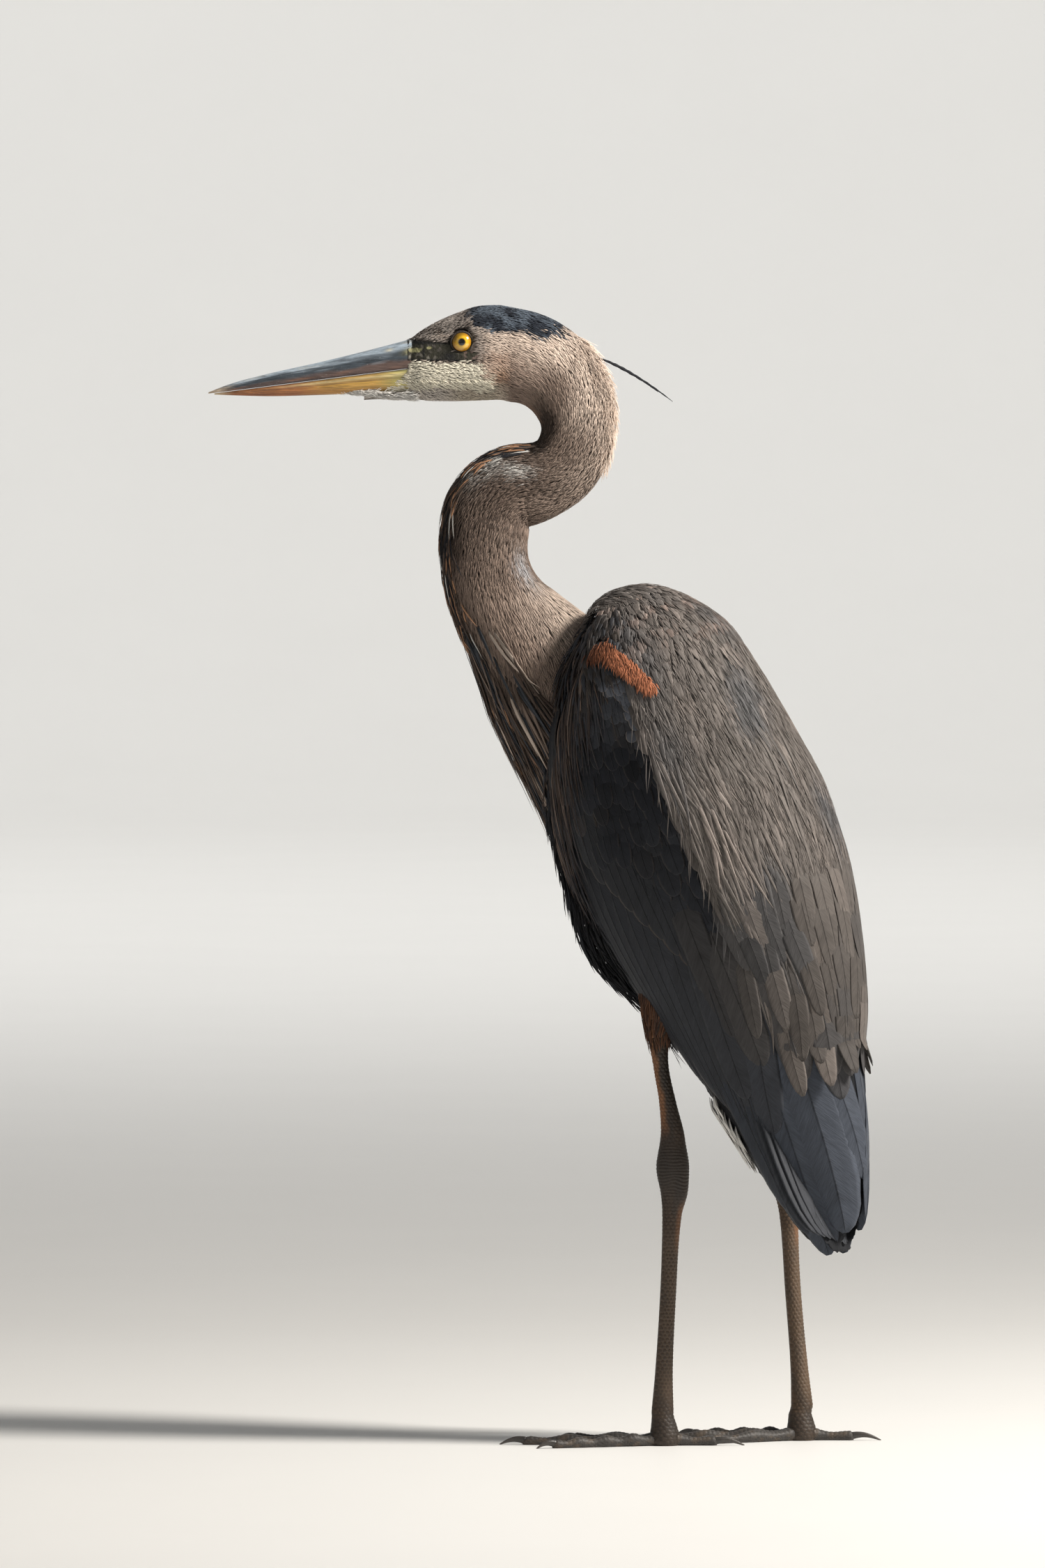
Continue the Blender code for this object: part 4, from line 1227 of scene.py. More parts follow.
class HERON_OT_neck_feathers(bpy.types.Operator):
    """Lay the fine feathers of the neck, down to the breast"""

    bl_idname = "heron.neck_feathers"
    bl_label = "Neck feathers"

    def execute(self, context):
        self.sleeve()
        self.streaks(np.random.default_rng(26))
        return {"FINISHED"}

    def sleeve(self):
        """The fine feathers all round, in five lengths of the neck."""
        spans = (  # name, start, end, gaps, length, width
            ("neck_feathers_nape", -6, 66, 1.4, 1.05, (7, 11), (0.85, 1.25)),
            ("neck_feathers_upper", 66, 138, 1.42, 1.05, (8, 12), (0.85, 1.25)),
            ("neck_feathers_bend", 138, 214, 1.5, 1.2, (8.5, 13), (0.9, 1.3)),
            ("neck_feathers_lower", 214, 300, 1.9, 1.45, (11, 17), (1.0, 1.5)),
            ("neck_feathers_base", 300, 404, 2.4, 1.8, (16, 26), (1.1, 1.7)),
        )
        for index, (name, start, end, gap_u, gap_v, lengths, widths) in enumerate(spans):
            rng = np.random.default_rng(20 + index)
            u, v = rows_of(NECK, start, end, all_round, gap_u, gap_v, rng)
            keep = clear_of_body(NECK.point(u, v), 0.93)
            u, v = u[keep], v[keep]
            total = len(u)
            length = rng.uniform(*lengths, total)
            tint = neck_tint(u + length * 0.5 + rng.normal(0, 2, total), v + rng.normal(0, 4, total))
            tint = varied(tint, rng, 0.09)
            blond = rng.random(total) < 0.10
            tint[blond] *= 1.18
            coat = Coat((start - 8, end + 8, -180, 180), rng)
            coat.lay(
                NECK, u, v, length, rng.uniform(*widths, total), neck_flow(u, v) + rng.normal(0, 7, total),
                tint, low=-1.9, high=(-0.15, 0.22), stations=2 if start < 210 else 3, thick=0.11,
                curl=bell(8), lift=(0.0, 0.012), tip_light=0.15
            )
            coat.make(name, down_material, "plumage_fawn")

    def streaks(self, rng):
        """The dark, rufous and white streaks down the foreneck."""
        coat = Coat((80, 320, -185, 185), rng)
        kinds = np.stack((INK * 1.6, FAWN_DARK, RUFOUS * 1.25, WHITE * 0.8))
        for total, start, end, inner, length, width, odds in (
            (170, 92, 146, 142, (13, 21), (1.7, 2.5), (0.3, 0.12, 0.42, 0.16)),
            (620, 146, 318, 138, (16, 32), (0.9, 1.7), (0.40, 0.38, 0.19, 0.03)),
        ):
            u, v = rng.uniform(start, end, total), rng.uniform(inner, 180, total) * rng.choice((-1, 1), total)
            tint = varied(kinds[rng.choice(4, total, p=odds)], rng, 0.15)
            coat.lay(
                NECK, u, v, length, width, bell(6), tint, low=-1.5, high=(0.3, 0.9), stations=5,
                kind=SPEAR, thick=0.2, curl=bell(8), lift=(0, 0.04), tip_light=0.1
            )
        coat.make("foreneck_streaks", down_material, "plumage_fawn")


class HERON_OT_plumes(bpy.types.Operator):
    """Lay the long plumes of the breast and shoulder, the nape's wisps and the two crest plumes"""

    bl_idname = "heron.plumes"
    bl_label = "Long plumes"

    def execute(self, context):
        rng = np.random.default_rng(31)
        self.breast(rng, context.scene.heron_sizes.breast_plumes)
        self.shoulders(rng)
        self.nape(rng)
        self.crest()
        return {"FINISHED"}

    def breast(self, rng, total):
        """The long plumes that hang from the foreneck, and soft ones on its right side."""
        u, v = rng.uniform(225, 372, total), rng.uniform(104, 184, total) * rng.choice((-1, 1), total)
        choice = rng.random(total)[:, None]
        tint = np.where(
            choice < 0.4, FAWN_DARK * 0.8,
            np.where(choice < 0.7, SLATE * 0.9, np.where(choice < 0.93, FAWN * 0.8, FAWN_PALE * 0.8))
        )
        coat = Coat((200, 400, -185, 185), rng)
        coat.lay(
            NECK_LONG, u, v, rng.uniform(38, 92, total), rng.uniform(1.6, 3.0, total),
            rng.normal(0, 4, total), varied(tint, rng), low=-2.0, high=(0.8, 2.6), stations=8, kind=SPEAR,
            thick=0.35, curl=bell(8), lift=(-0.02, 0.05)
        )
        u, v = rng.uniform(296, 388, 420), rng.uniform(-158, -28, 420)
        tint = blend(
            varied(neck_tint(u, v), rng, 0.1), SLATE_BROWN * 0.7, soft(u + rng.normal(0, 14, 420), 310, 392)
        )
        coat.lay(
            NECK_LONG, u, v, (34, 64), (1.4, 2.8), bell(6), tint, low=-2.0, high=(0.3, 1.3), stations=5,
            kind=SPEAR, thick=0.3, curl=bell(8), lift=(-0.14, -0.03), tip_light=0.1
        )
        coat.make("breast_plumes", down_material, "plumage_fawn")

    def shoulders(self, rng):
        """Plumes that fall over each wing's lower edge."""
        coat = Coat((-140, 80, -160, 160), rng)
        for side in SIDES:
            total = 260
            u, back = rng.uniform(-126, 14, total), rng.uniform(0, 1, total) ** 2 * 22
            v = along(WING_LOW_EDGE, u)[0] + 3 - back
            tint = varied(blend(SLATE * 0.9, FAWN_DARK * 0.9, rng.random(total)), rng)
            tint = blend(tint, FAWN * 0.9, soft(6 - back, 0, 6) * soft(rng.random(total), 0.6, 0.7))
            coat.lay(
                WINGS[side], u, v, (34, 74), (1.2, 2.4), bell(4, 4), tint, low=-1.0, high=(1.2, 2.6),
                stations=6, kind=WISP, thick=0.4, curl=bell(7)
            )
        coat.make("shoulder_plumes", down_material, "plumage_slate")

    def nape(self, rng):
        """Loose wisps that stand off the nape."""
        coat = Coat((-12, 60, -60, 60), rng)
        total = 460
        u, v = rng.uniform(22, 84, total), rng.normal(0, 26, total)
        tint = varied(spread(FAWN_PALE * 1.1, u), rng)
        coat.lay(
            NECK, u, v, (10, 17), (0.35, 0.6), bell(14), tint, low=-1.0, high=0.8, stations=5, thick=0.3,
            lift=(0.08, 0.30), sway=bell(0.1)
        )
        coat.make("nape_wisps", down_material, "plumage_fawn")

    def crest(self):
        """The two long crest plumes."""
        for name, ((x, y, z), length, droop, slant) in PLUMES.items():
            share, turn = np.linspace(0, 1, 40)[:, None], ring(12)
            wide = 0.85 * np.sin(math.pi * np.clip(share * 0.93 + 0.07, 0, 1)) ** 0.7 + 0.12
            wide = wide * (1 + 0.18 * np.sin(share * 190) * (share > 0.12))
            centre_x, centre_z = x + length * share, z - droop * share - 10 * share**2
            centre_y = HEAD_PLANE_Y + y + slant * share
            points = places(centre_x, centre_y + 0.45 * wide * np.cos(turn), centre_z + wide * np.sin(turn))
            tint = blend(INK, SLATE, 0.3 + 0.3 * share + 0 * turn)
            make_piece(
                name + "_vane", points, tint, tube_faces(40, 12), down_material, "plumage_slate", (name,)
            )


# ---- Back and wings ----
PLUME_EDGE = ((-154, 100), (-110, 74), (-70, 76), (40, 71), (121, 66), (150, 58), (196, 40))


def back_reach(u):
    edge = float(along(PLUME_EDGE, u)[0])
    return -edge, edge


class HERON_OT_mantle(bpy.types.Operator):
    """Lay the mantle: broad feathers, fine streaks over them, and long plumes over the wings"""

    bl_idname = "heron.mantle"
    bl_label = "Mantle"

    def execute(self, context):
        rng = np.random.default_rng(41)
        self.feathers(rng)
        self.streaks(rng)
        self.hairs(rng)
        self.plumes(rng, context.scene.heron_sizes.mantle_plumes)
        return {"FINISHED"}

    def feathers(self, rng):
        """Broad feathers under everything, and longer ones over the wings."""
        u, v = rows_of(BACK, -146, 176, back_reach, 13, 10, rng)
        coat = Coat((-154, 240, -104, 104), rng, (0.012, 0.012))
        tint = varied(back_tint(u, v) * 0.72, rng, 0.14)
        coat.lay(
            BACK, u, v, (26, 36), (11, 14), bell(5), tint, tint * 1.25, low=-4, high=-0.8, stations=5,
            kind=LEAF, thick=0.2, ease=1.4, tip_light=0.1
        )
        u, v = rows_of(BACK, 58, 152, back_reach, 19, 13, rng, 0.25)
        tint = varied(back_tint(u, v) * 0.74, rng, 0.06)
        coat.lay(
            BACK, u, v, rng.uniform(54, 76, len(u)), rng.uniform(13, 17, len(u)), rng.normal(0, 4, len(u)),
            tint, tint * 1.2, low=-3, high=rng.uniform(0.3, 1.0, len(u)) + 0.006 * (u - 14), stations=9,
            kind=LEAF, thick=0.2, ease=1.3, tip_light=0.08
        )
        coat.make("mantle_feathers", vane_material, "plumage_grey")

    def streaks(self, rng):
        """Narrow feathers with pale edges, also over the withers and the gap at the shoulder."""
        u, v = rows_of(BACK, -150, 150, back_reach, 5.2, 3.7, rng)
        keep = rng.random(len(u)) > 0.6 * soft(u, 105, 150)
        u, v = u[keep], v[keep]
        total = len(u)
        tint = varied(back_tint(u, v), rng, 0.14)
        coat = Coat((-154, 240, -104, 104), rng)
        coat.lay(
            BACK, u, v,
            np.interp(u, (-150, -100, -60, 150), (13, 19, 32, 40)) * rng.uniform(0.85, 1.15, total),
            np.interp(u, (-150, -100, -60), (6.0, 5.0, 3.8)) * rng.uniform(0.8, 1.2, total),
            rng.normal(0, 6, total) - 0.05 * v, tint, tint * np.interp(u, (-150, -90), (1.9, 1.2))[:, None],
            low=-2.2, high=(0.0, 0.6), stations=4, kind=SPEAR, thick=0.15,
            curl=bell(9), sway=bell(0.02), tip_light=0.15
        )
        u, v = rng.uniform(188, 228, 150), rng.uniform(-30, 30, 150)
        tint = varied(back_tint(np.full(150, -138.0), v), rng, 0.14)
        coat.lay(
            WITHERS, u, v, rng.uniform(15, 20, 150), rng.uniform(4.6, 6.2, 150),
            rng.normal(0, 6, 150) + 0.7 * v, tint, tint * 1.7, low=-2.0, high=(0.5, 1.3), stations=4,
            kind=SPEAR, thick=0.15, curl=bell(9), tip_light=0.15
        )
        u, v = rng.uniform(-141, -98, 230), rng.uniform(72, 103, 230) * rng.choice((-1, 1), 230)
        tint = varied(blend(SLATE * 0.75, SLATE_BROWN * 0.6, rng.random(230)), rng, 0.14)
        coat.lay(
            BACK, u, v, (14, 22), (3.4, 5.2), bell(9), tint, tint * 1.4, low=-2.2, high=(0.2, 1.2),
            stations=4, kind=SPEAR, thick=0.15, curl=bell(9), tip_light=0.12
        )
        coat.make("mantle_streaks", streak_material, "plumage_grey")

    def hairs(self, rng):
        """Hair-like tips over the streaks and the withers."""
        u, v = rows_of(BACK, -148, 176, back_reach, 3.5, 2.45, rng)
        keep = rng.random(len(u)) > 0.55 * soft(u, 110, 165)
        u, v = u[keep], v[keep]
        total = len(u)
        tint = varied(back_tint(u, v) * 1.05, rng, 0.14)
        loose = (abs(v) > along(PLUME_EDGE, u)[0] - 9) & (rng.random(total) < 0.4)
        coat = Coat((-154, 240, -104, 104), rng)
        coat.lay(
            BACK, u, v, np.interp(u, (-150, -100, -60), (11, 16, 28)) * rng.uniform(0.7, 1.3, total),
            rng.uniform(0.6, 1.1, total), rng.normal(0, 7, total) - 0.05 * v + np.sign(v) * 16 * loose, tint,
            low=-1.8, high=(0.2, 0.75), kind=WISP, thick=0.16, curl=bell(10), lift=(0, 0.012),
            tip_light=0.14
        )
        u, v = rng.uniform(186, 230, 620), rng.uniform(-32, 32, 620)
        tint = varied(back_tint(np.full(620, -138.0), v) * 1.05, rng, 0.14)
        coat.lay(
            WITHERS, u, v, rng.uniform(10, 16, 620), rng.uniform(0.7, 1.1, 620),
            rng.normal(0, 8, 620) + 0.7 * v, tint, low=-1.6, high=(0.6, 1.6), kind=WISP,
            thick=0.16, curl=bell(10), tip_light=0.14
        )
        coat.make("mantle_hairs", down_material, "plumage_grey")

    def plumes(self, rng, total):
        """Long narrow plumes, and a few pale ones over the top of each wing."""
        coat = Coat((-80, 330, -104, 104), rng)
        u = rng.uniform(-40, 150, total)
        edge = along(PLUME_EDGE, u)[0]
        v = rng.choice((-1, 1), total) * edge
        outer = rng.random(total) < 0.5
        v = v * np.where(outer, rng.uniform(0.82, 0.99, total), rng.uniform(0.0, 0.85, total))
        tint = blend(varied(back_tint(u, v), rng, 0.1), MANTLE_PALE, 0.3 * (rng.random(total) < 0.2))
        coat.lay(
            BACK, u, v, rng.uniform(42, 74, total), rng.uniform(1.8, 3.4, total),
            rng.normal(0, 4, total) - 0.05 * v, tint, tint * 1.1, low=-1.0, high=(0.4, 1.1), stations=8,
            kind=SPEAR, thick=0.15, curl=bell(7), sway=bell(0.03), tip_light=0.12
        )
        for hand in SIDES.values():
            u, v = rng.uniform(-4, 34, 7), hand * rng.uniform(56, 67, 7)
            coat.lay(
                BACK, u, v, (36, 50), (2.2, 3.2), bell(4), spread(MANTLE_PALE, u),
                spread(MANTLE_PALE * 1.2, u), low=-1.0, high=1.6, stations=8, kind=SPEAR,
                thick=0.25, tip_light=0.1
            )
        coat.make("mantle_plumes", streak_material, "plumage_grey")


def between(zone, start, end):
    """The length and heading of a walk from one place on a zone to another."""
    (u0, v0), (u1, v1) = start, end
    mm_u, mm_v = zone.metric((u0 + u1) / 2, (v0 + v1) / 2)
    ahead, aside = (u1 - u0) * mm_u, (v1 - v0) * mm_v
    return np.hypot(ahead, aside), np.degrees(np.arctan2(aside, ahead))


class HERON_OT_wings(bpy.types.Operator):
    """Lay each folded wing: primaries, secondaries, long inner feathers and the rows of coverts"""

    bl_idname = "heron.wings"
    bl_label = "Wings"

    def execute(self, context):
        for side in SIDES:
            rng = np.random.default_rng(51 + (side == "right"))
            self.flight(side, WINGS[side], rng)
            self.coverts(side, WINGS[side], rng)
            self.wrist(side, rng)
        return {"FINISHED"}

    def quills(self, coat, zone, starts, ends, widths, high, tint, rim, stations=16, thick=0.5):
        """Lays long stiff feathers, each from its root to its tip."""
        starts, ends = np.array(starts, float), np.array(ends, float)
        length, turn = between(zone, starts.T, ends.T)
        coat.lay(
            zone, *starts.T, length, np.array(widths, float), turn, varied(tint, coat.rng, 0.06), rim,
            low=-3.0, high=high, stations=stations, kind=QUILL, thick=thick,
            ease=1.3, rise=0.35, curl=bell(2), tip_light=0.05, settle=0.6
        )

    def flight(self, side, zone, rng):
        """Primaries, secondaries and the long inner feathers."""
        coat = Coat((-60, 340, 0, 156), rng, (0.055, 0.16))
        # The flight feathers are set darker than their own slate: partly painted shade of the folded wing.
        i = np.arange(9)
        self.quills(
            coat, zone, places(130 + 7 * i, 126 - 3 * i), places(264 + 6.8 * i, 137 - 3.6 * i), 15 + 0.4 * i,
            -1.6 + 0.12 * i, spread(SLATE_DARK * 0.5, i), spread(SLATE_DARK * 0.9, i)
        )
        i = np.arange(13)
        self.quills(
            coat, zone, places(-46 + 13 * i, 141 - 5.2 * i), places(150 + 7.8 * i, 150 - 3.7 * i),
            19 + 0.4 * i, -1.0 + 0.16 * i, blend(SLATE_DARK * 1.2, SLATE * 0.6, i / 12),
            blend(SLATE * 0.8, SLATE_BROWN * 1.1, i / 12)
        )
        # (root s, v, tip s, v, width, height, shade: how dark each feather is set, partly painted shade)
        inner = np.array((
            (150, 100, 296, 118, 24, 0.4, 0.5), (152, 84, 314, 100, 26, 0.8, 0.55),
            (196, 16, 288, -3, 17, 0.5, 0.1), (190, -2, 314, -8, 15, 0.9, 0.9),
            (150, 72, 332, 80, 32, 1.2, 0.8), (160, 40, 290, 10, 22, 1.5, 0.9),
            (150, 56, 322, 45, 35, 1.9, 1.0), (130, 66, 240, 88, 24, 2.2, 0.7),
            (96, 84, 212, 94, 24, 2.3, 0.6), (104, 30, 232, 26, 24, 2.6, 0.85),
            (92, 60, 214, 54, 25, 3.1, 0.85), (90, 38, 217, 32, 24, 3.5, 0.85),
            (90, 12, 219, 14, 24, 3.1, 0.9), (80, 76, 196, 76, 24, 2.9, 0.75),
            (60, 84, 172, 84, 22, 2.7, 0.6),
        ))
        if side == "right":
            inner = np.delete(inner, (2, 3), 0) - np.array((0, 0, 0, 0, 0, 0.25, 0))
        shade = blend(SLATE, MANTLE * 0.52, soft(inner[:, 5], 1.8, 3.0)) * inner[:, 6:]
        shade = shade * colour_of(0.93, 1.0, 1.10)
        rim = shade * 1.25
        self.quills(
            coat, zone, inner[:, :2], inner[:, 2:4], inner[:, 4], inner[:, 5], varied(shade, rng, 0.08), rim,
            stations=18
        )
        coat.make(f"wing_{side}_flight", vane_material, "plumage_grey")

    def coverts(self, side, zone, rng):
        """The rows of coverts, and slate ones with pale edges at the shoulder."""
        coat = Coat((-132, 200, 40, 160), rng, (0.03, 0.03))
        i = np.arange(16)
        starts = places(-92 + 13 * i, 138 - 4.4 * i)
        ends = starts + places(70 + 0 * i, 3 - 0.4 * i)
        # The greater coverts are set far darker than their own slate: partly painted shade of the folded
        # wing.
        self.quills(
            coat, zone, starts, ends, 20 + 0 * i, 1.0, spread(SLATE * 0.4, i), spread(SLATE_BROWN * 0.9, i),
            12, 0.4
        )
        lesser = lambda u: (float(along(WING_TOP_EDGE, u)[0]) - 3, float(along(WING_LOW_EDGE, u)[0]) - 2)
        gaps = ((-128, 7.0), (-80, 8.5), (0, 11), (120, 14))
        u, v = rows_of(
            zone, -124, 118, lesser, gaps, ((-128, 6.6), (-80, 8), (0, 10), (120, 12.5)), rng, 0.2
        )
        keep = v < 141 - 0.42 * (u + 92) + 14
        u, v = u[keep], v[keep]
        size = np.interp(u, (-125, -60, 40, 120), (17, 24, 33, 38))
        tint = varied(wing_tint(u + size * 0.6, v), rng, 0.12)
        coat.lay(
            zone, u, v, size * rng.uniform(0.9, 1.1, len(u)), size * 0.52, bell(5), tint,
            tint * 0.8 + SLATE_BROWN * 0.35, low=-3.4, high=(0.6, 1.5), stations=8, kind=LEAF,
            thick=0.25, ease=1.5, tip_light=0.06
        )
        for centre, spots, colour in (
            ((-93, 82, 8, 6), 26, SLATE * 2.2), ((-66, 79, 8, 3), 8, SLATE * 1.9)
        ):
            u, v = rng.normal(centre[0], centre[2], spots), rng.normal(centre[1], centre[3], spots)
            coat.lay(
                zone, u, v, (11, 15), (7.5, 10), bell(9), colour, spread(MANTLE_PALE * 0.9, u), low=-2,
                high=(1.4, 2.2), stations=8, kind=LEAF, thick=0.2, ease=1.4,
                tip_light=0.1, vary=0.12
            )
        coat.make(f"wing_{side}_coverts_rows", vane_material, "plumage_grey")

    def wrist(self, side, rng):
        """The chestnut patch at the bend."""
        coat = Coat((-132, -40, -110, 110), rng)
        total = 760
        share = rng.random(total)
        u = np.interp(share, (0, 0.6, 1), (-115, -92, -74)) + rng.normal(0, 1.5, total)
        v = np.interp(share, (0, 0.6, 1), (84, 71, 63))
        v = v + rng.uniform(-4.6, 4.6, total) * np.interp(share, (0, 0.6, 1), (0.8, 0.85, 0.4))
        u, v = np.append(u, rng.normal(-111, 2.5, 90)), np.append(v, rng.normal(89, 2.5, 90))
        total = len(u)
        tint = varied(spread(CHESTNUT * 1.15, u), rng, 0.2)
        tint *= np.append(np.interp(share, (0, 0.35, 1), (0.6, 1, 1)), np.full(90, 0.4))[:, None]
        coat.lay(
            BACK, u, v * SIDES[side], rng.uniform(6, 11, total), rng.uniform(0.9, 1.6, total),
            rng.normal(10 * SIDES[side], 12, total), tint, low=-0.5, high=(1.7, 2.5),
            kind=WISP, thick=0.18, tip_light=0.15
        )
        coat.make(f"wing_{side}_wrist_patch", down_material, "plumage_grey")


class HERON_OT_under_parts(bpy.types.Operator):
    """Lay the black belly, the thighs, the tail and the white feathers under it"""

    bl_idname = "heron.under_parts"
    bl_label = "Belly, thighs and tail"

    def execute(self, context):
        rng = np.random.default_rng(61)
        for part in (self.belly, self.flank_hairs, self.thighs, self.tail, self.undertail):
            part(rng)
        return {"FINISHED"}

    def belly(self, rng):
        """The black belly."""
        coat = Coat((-160, 240, -185, 185), rng)
        reach = lambda u: (104.0, 256.0) if u < -90 else (132.0, 228.0)
        u, v = rows_of(FLANK, -150, 196, reach, 6.5, 4.2, rng)
        tint = varied(flank_tint(u, v), rng, 0.3)
        coat.lay(
            FLANK, u, v, (22, 40), (2.2, 4.2), bell(9), tint, low=-3, high=(0, 2), stations=5,
            kind=WISP, thick=0.6, lift=(0.0, 0.12), curl=bell(12)
        )
        coat.make("belly_feathers", down_material, "plumage_slate")

    def flank_hairs(self, rng):
        """Dark hairs under each wing's edge."""
        coat = Coat((-100, 280, -185, 185), rng)
        for side in SIDES:
            total = 260
            u, v = rng.uniform(-70, 150, total), rng.uniform(144, 172, total)
            coat.lay(
                WINGS[side], u, v, (14, 30), (0.7, 1.6), (0, 50), INK * 1.2, low=-4, high=(-1, 1), stations=5,
                kind=WISP, thick=0.3, lift=(-0.05, 0.15), curl=bell(14), vary=0.3
            )
        coat.make("flank_hairs", down_material, "plumage_slate")

    def thighs(self, rng):
        """The feathered top of each leg."""
        coat = Coat((0, 90, -180, 180), rng)
        for side in SIDES:
            zone = leg_zone(side)
            u, v = rows_of(zone, 6, 66, all_round, 3.6, 2.6, rng)
            tint = varied(blend(THIGH, INK * 2, 0.5 * soft(ripple(u, v, 30, 7), 0, 1)), rng, 0.25)
            coat.lay(
                zone, u, v, (12, 19), (1.3, 2.2), bell(7), tint, low=-2.0, high=(0, 0.9), stations=4,
                thick=0.4, lift=(0, 0.05)
            )
        coat.make("thigh_feathers", down_material, "plumage_slate")

    def tail(self, rng):
        """The twelve tail feathers, the outer ones first."""
        tail = Coat((120, 350, -100, 280), rng, (0.05, 0.2))
        v = np.array((0, 12, -12, 24, -24, 37, -37, 50, -50, 64, -64, 76), float)[::-1]
        length = 178 - 0.14 * abs(v)
        tail.lay(
            RUMP, np.full(12, 148.0), v, length, np.full(12, 24.0), 0 * v, spread(SLATE * 0.8, v),
            spread(SLATE, v), low=-2, high=np.linspace(0, 1.5, 12), stations=14, kind=QUILL,
            thick=0.4, ease=1.3, tip_light=0.05, wrap=0.2
        )
        tail.make("tail_feathers", vane_material, "plumage_grey")

    def undertail(self, rng):
        """White feathers under the tail, and at each wing's lower edge."""
        coat = Coat((100, 290, -180, 180), rng)
        u, v = rows_of(UNDERTAIL, 114, 212, all_round, 7.0, 4.0, rng)
        below = abs(body_coordinates(UNDERTAIL.point(u + 20, v))[1]) > 143
        u, v = u[below], v[below]
        coat.lay(
            UNDERTAIL, u, v, (20, 34), (3.0, 5.0), bell(6), WHITE, low=-2, high=(0, 1), stations=5,
            kind=WISP, thick=0.6, vary=0.06
        )
        for side in SIDES:
            u, v = rng.uniform(200, 236, 110), rng.uniform(132, 184, 110)
            coat.lay(
                WINGS[side], u, v, (16, 26), (2.4, 4.4), bell(8, 4), WHITE, low=-2, high=(1.4, 2.6),
                stations=5, kind=WISP, thick=0.35, curl=bell(8), vary=0.08
            )
        coat.make("undertail_feathers", down_material, "plumage_white")


# ---- Bill, chin and eyes ----
def bill_material(name):
    """Horn: long pale and dark streaks and fine scratches over the painted tint."""
    s = Shader(name, Specular_IOR_Level=0.45, Coat_Weight=0.25, Coat_Roughness=0.25)
    grain = s.noise(s.place((0.06, 1, 1), (0, 7.2, 0)), 0.9, 4.0, 0.65)
    patch = s.noise(s.place((0.12, 1, 0.7), (0, 7.2, 0)), 4.0, 3.0, 0.6, 0.6)
    fleck = s.noise(s.place((0.5, 1, 1)), 0.8, 2.0).rise(0.25, 0.6)
    colour = s.shade(s.attribute("tint"), grain * 0.9 + patch * 0.7 + 1.0)
    colour = s.mix(fleck * 0.34, colour, colour_of(0.52, 0.52, 0.50))
    height = grain * 0.5 + patch * 0.3
    return s.feed_all(Base_Color=colour, Roughness=grain * 0.12 + 0.42, Normal=s.bump(height, 0.14))


def upper_bill_tint(share, rise, grain):
    navy = colour_of(0.060, 0.074, 0.090)
    blue = colour_of(0.36, 0.43, 0.50)
    plum = colour_of(0.13, 0.085, 0.072)
    tint = blend(navy, blue, soft(rise + 0.14 * grain, 0.60, 0.88))
    return layers(
        tint,
        # Partly worn horn, partly painted highlight: pale streaks along the top of the ridge.
        (colour_of(0.46, 0.47, 0.45), soft(grain, 0.25, 0.8) * soft(rise, 0.70, 0.9) * 0.75),
        (plum, soft(-rise + 0.10 * grain, -0.46, -0.24) * (0.95 - 0.3 * share)),
        (plum * colour_of(2.0, 1.5, 1.1), soft(-grain, 0.2, 0.9) * soft(-rise, -0.36, -0.18) * 0.7),
        (blue * 0.7, soft(grain, 0.5, 1.0) * soft(-rise, -0.62, -0.5) * soft(rise, 0.3, 0.4) * 0.5),
        (LORE_LIME, 0.95 * bump_at(share, rise, (-0.01, 0.60), (0.035, 0.10))),
        (colour_of(0.55, 0.50, 0.36), 0.8 * bump_at(share, rise, (0.106, 0.80), (0.018, 0.05))),
        (INK, soft(-rise, -0.08, -0.03) * 0.85),
        (colour_of(0.40, 0.32, 0.24), soft(share + 0.03 * grain, 0.84, 0.98)),
    )


def lower_bill_tint(share, rise, grain):
    rust = colour_of(0.40, 0.155, 0.05)
    amber = colour_of(0.60, 0.35, 0.08)
    cream = colour_of(0.72, 0.60, 0.33)
    tint = blend(rust, amber, soft(-share + 0.05 * grain, -0.62, -0.30))
    tint = layers(
        tint,
        (colour_of(0.52, 0.50, 0.18), soft(-share, -0.20, -0.03) * 0.85),
        (cream, 0.8 * ridge(rise - 0.20, 0.07) * soft(-share, -0.8, -0.45)),
    )
    tint = blend(tint, tint * colour_of(0.62, 0.5, 0.45), soft(rise + 0.1 * grain, 0.52, 0.8) * 0.75)
    tint = layers(
        tint,
        (colour_of(0.12, 0.085, 0.065), ridge(rise - 0.36, 0.05) * 0.55),
        (INK * 2, soft(-rise, -0.09, -0.03) * 0.8),
    )
    tint = blend(tint, tint * 0.6, soft(grain, 0.45, 1.0) * 0.4)
    return blend(tint, colour_of(0.55, 0.43, 0.28), soft(share, 0.86, 0.97))


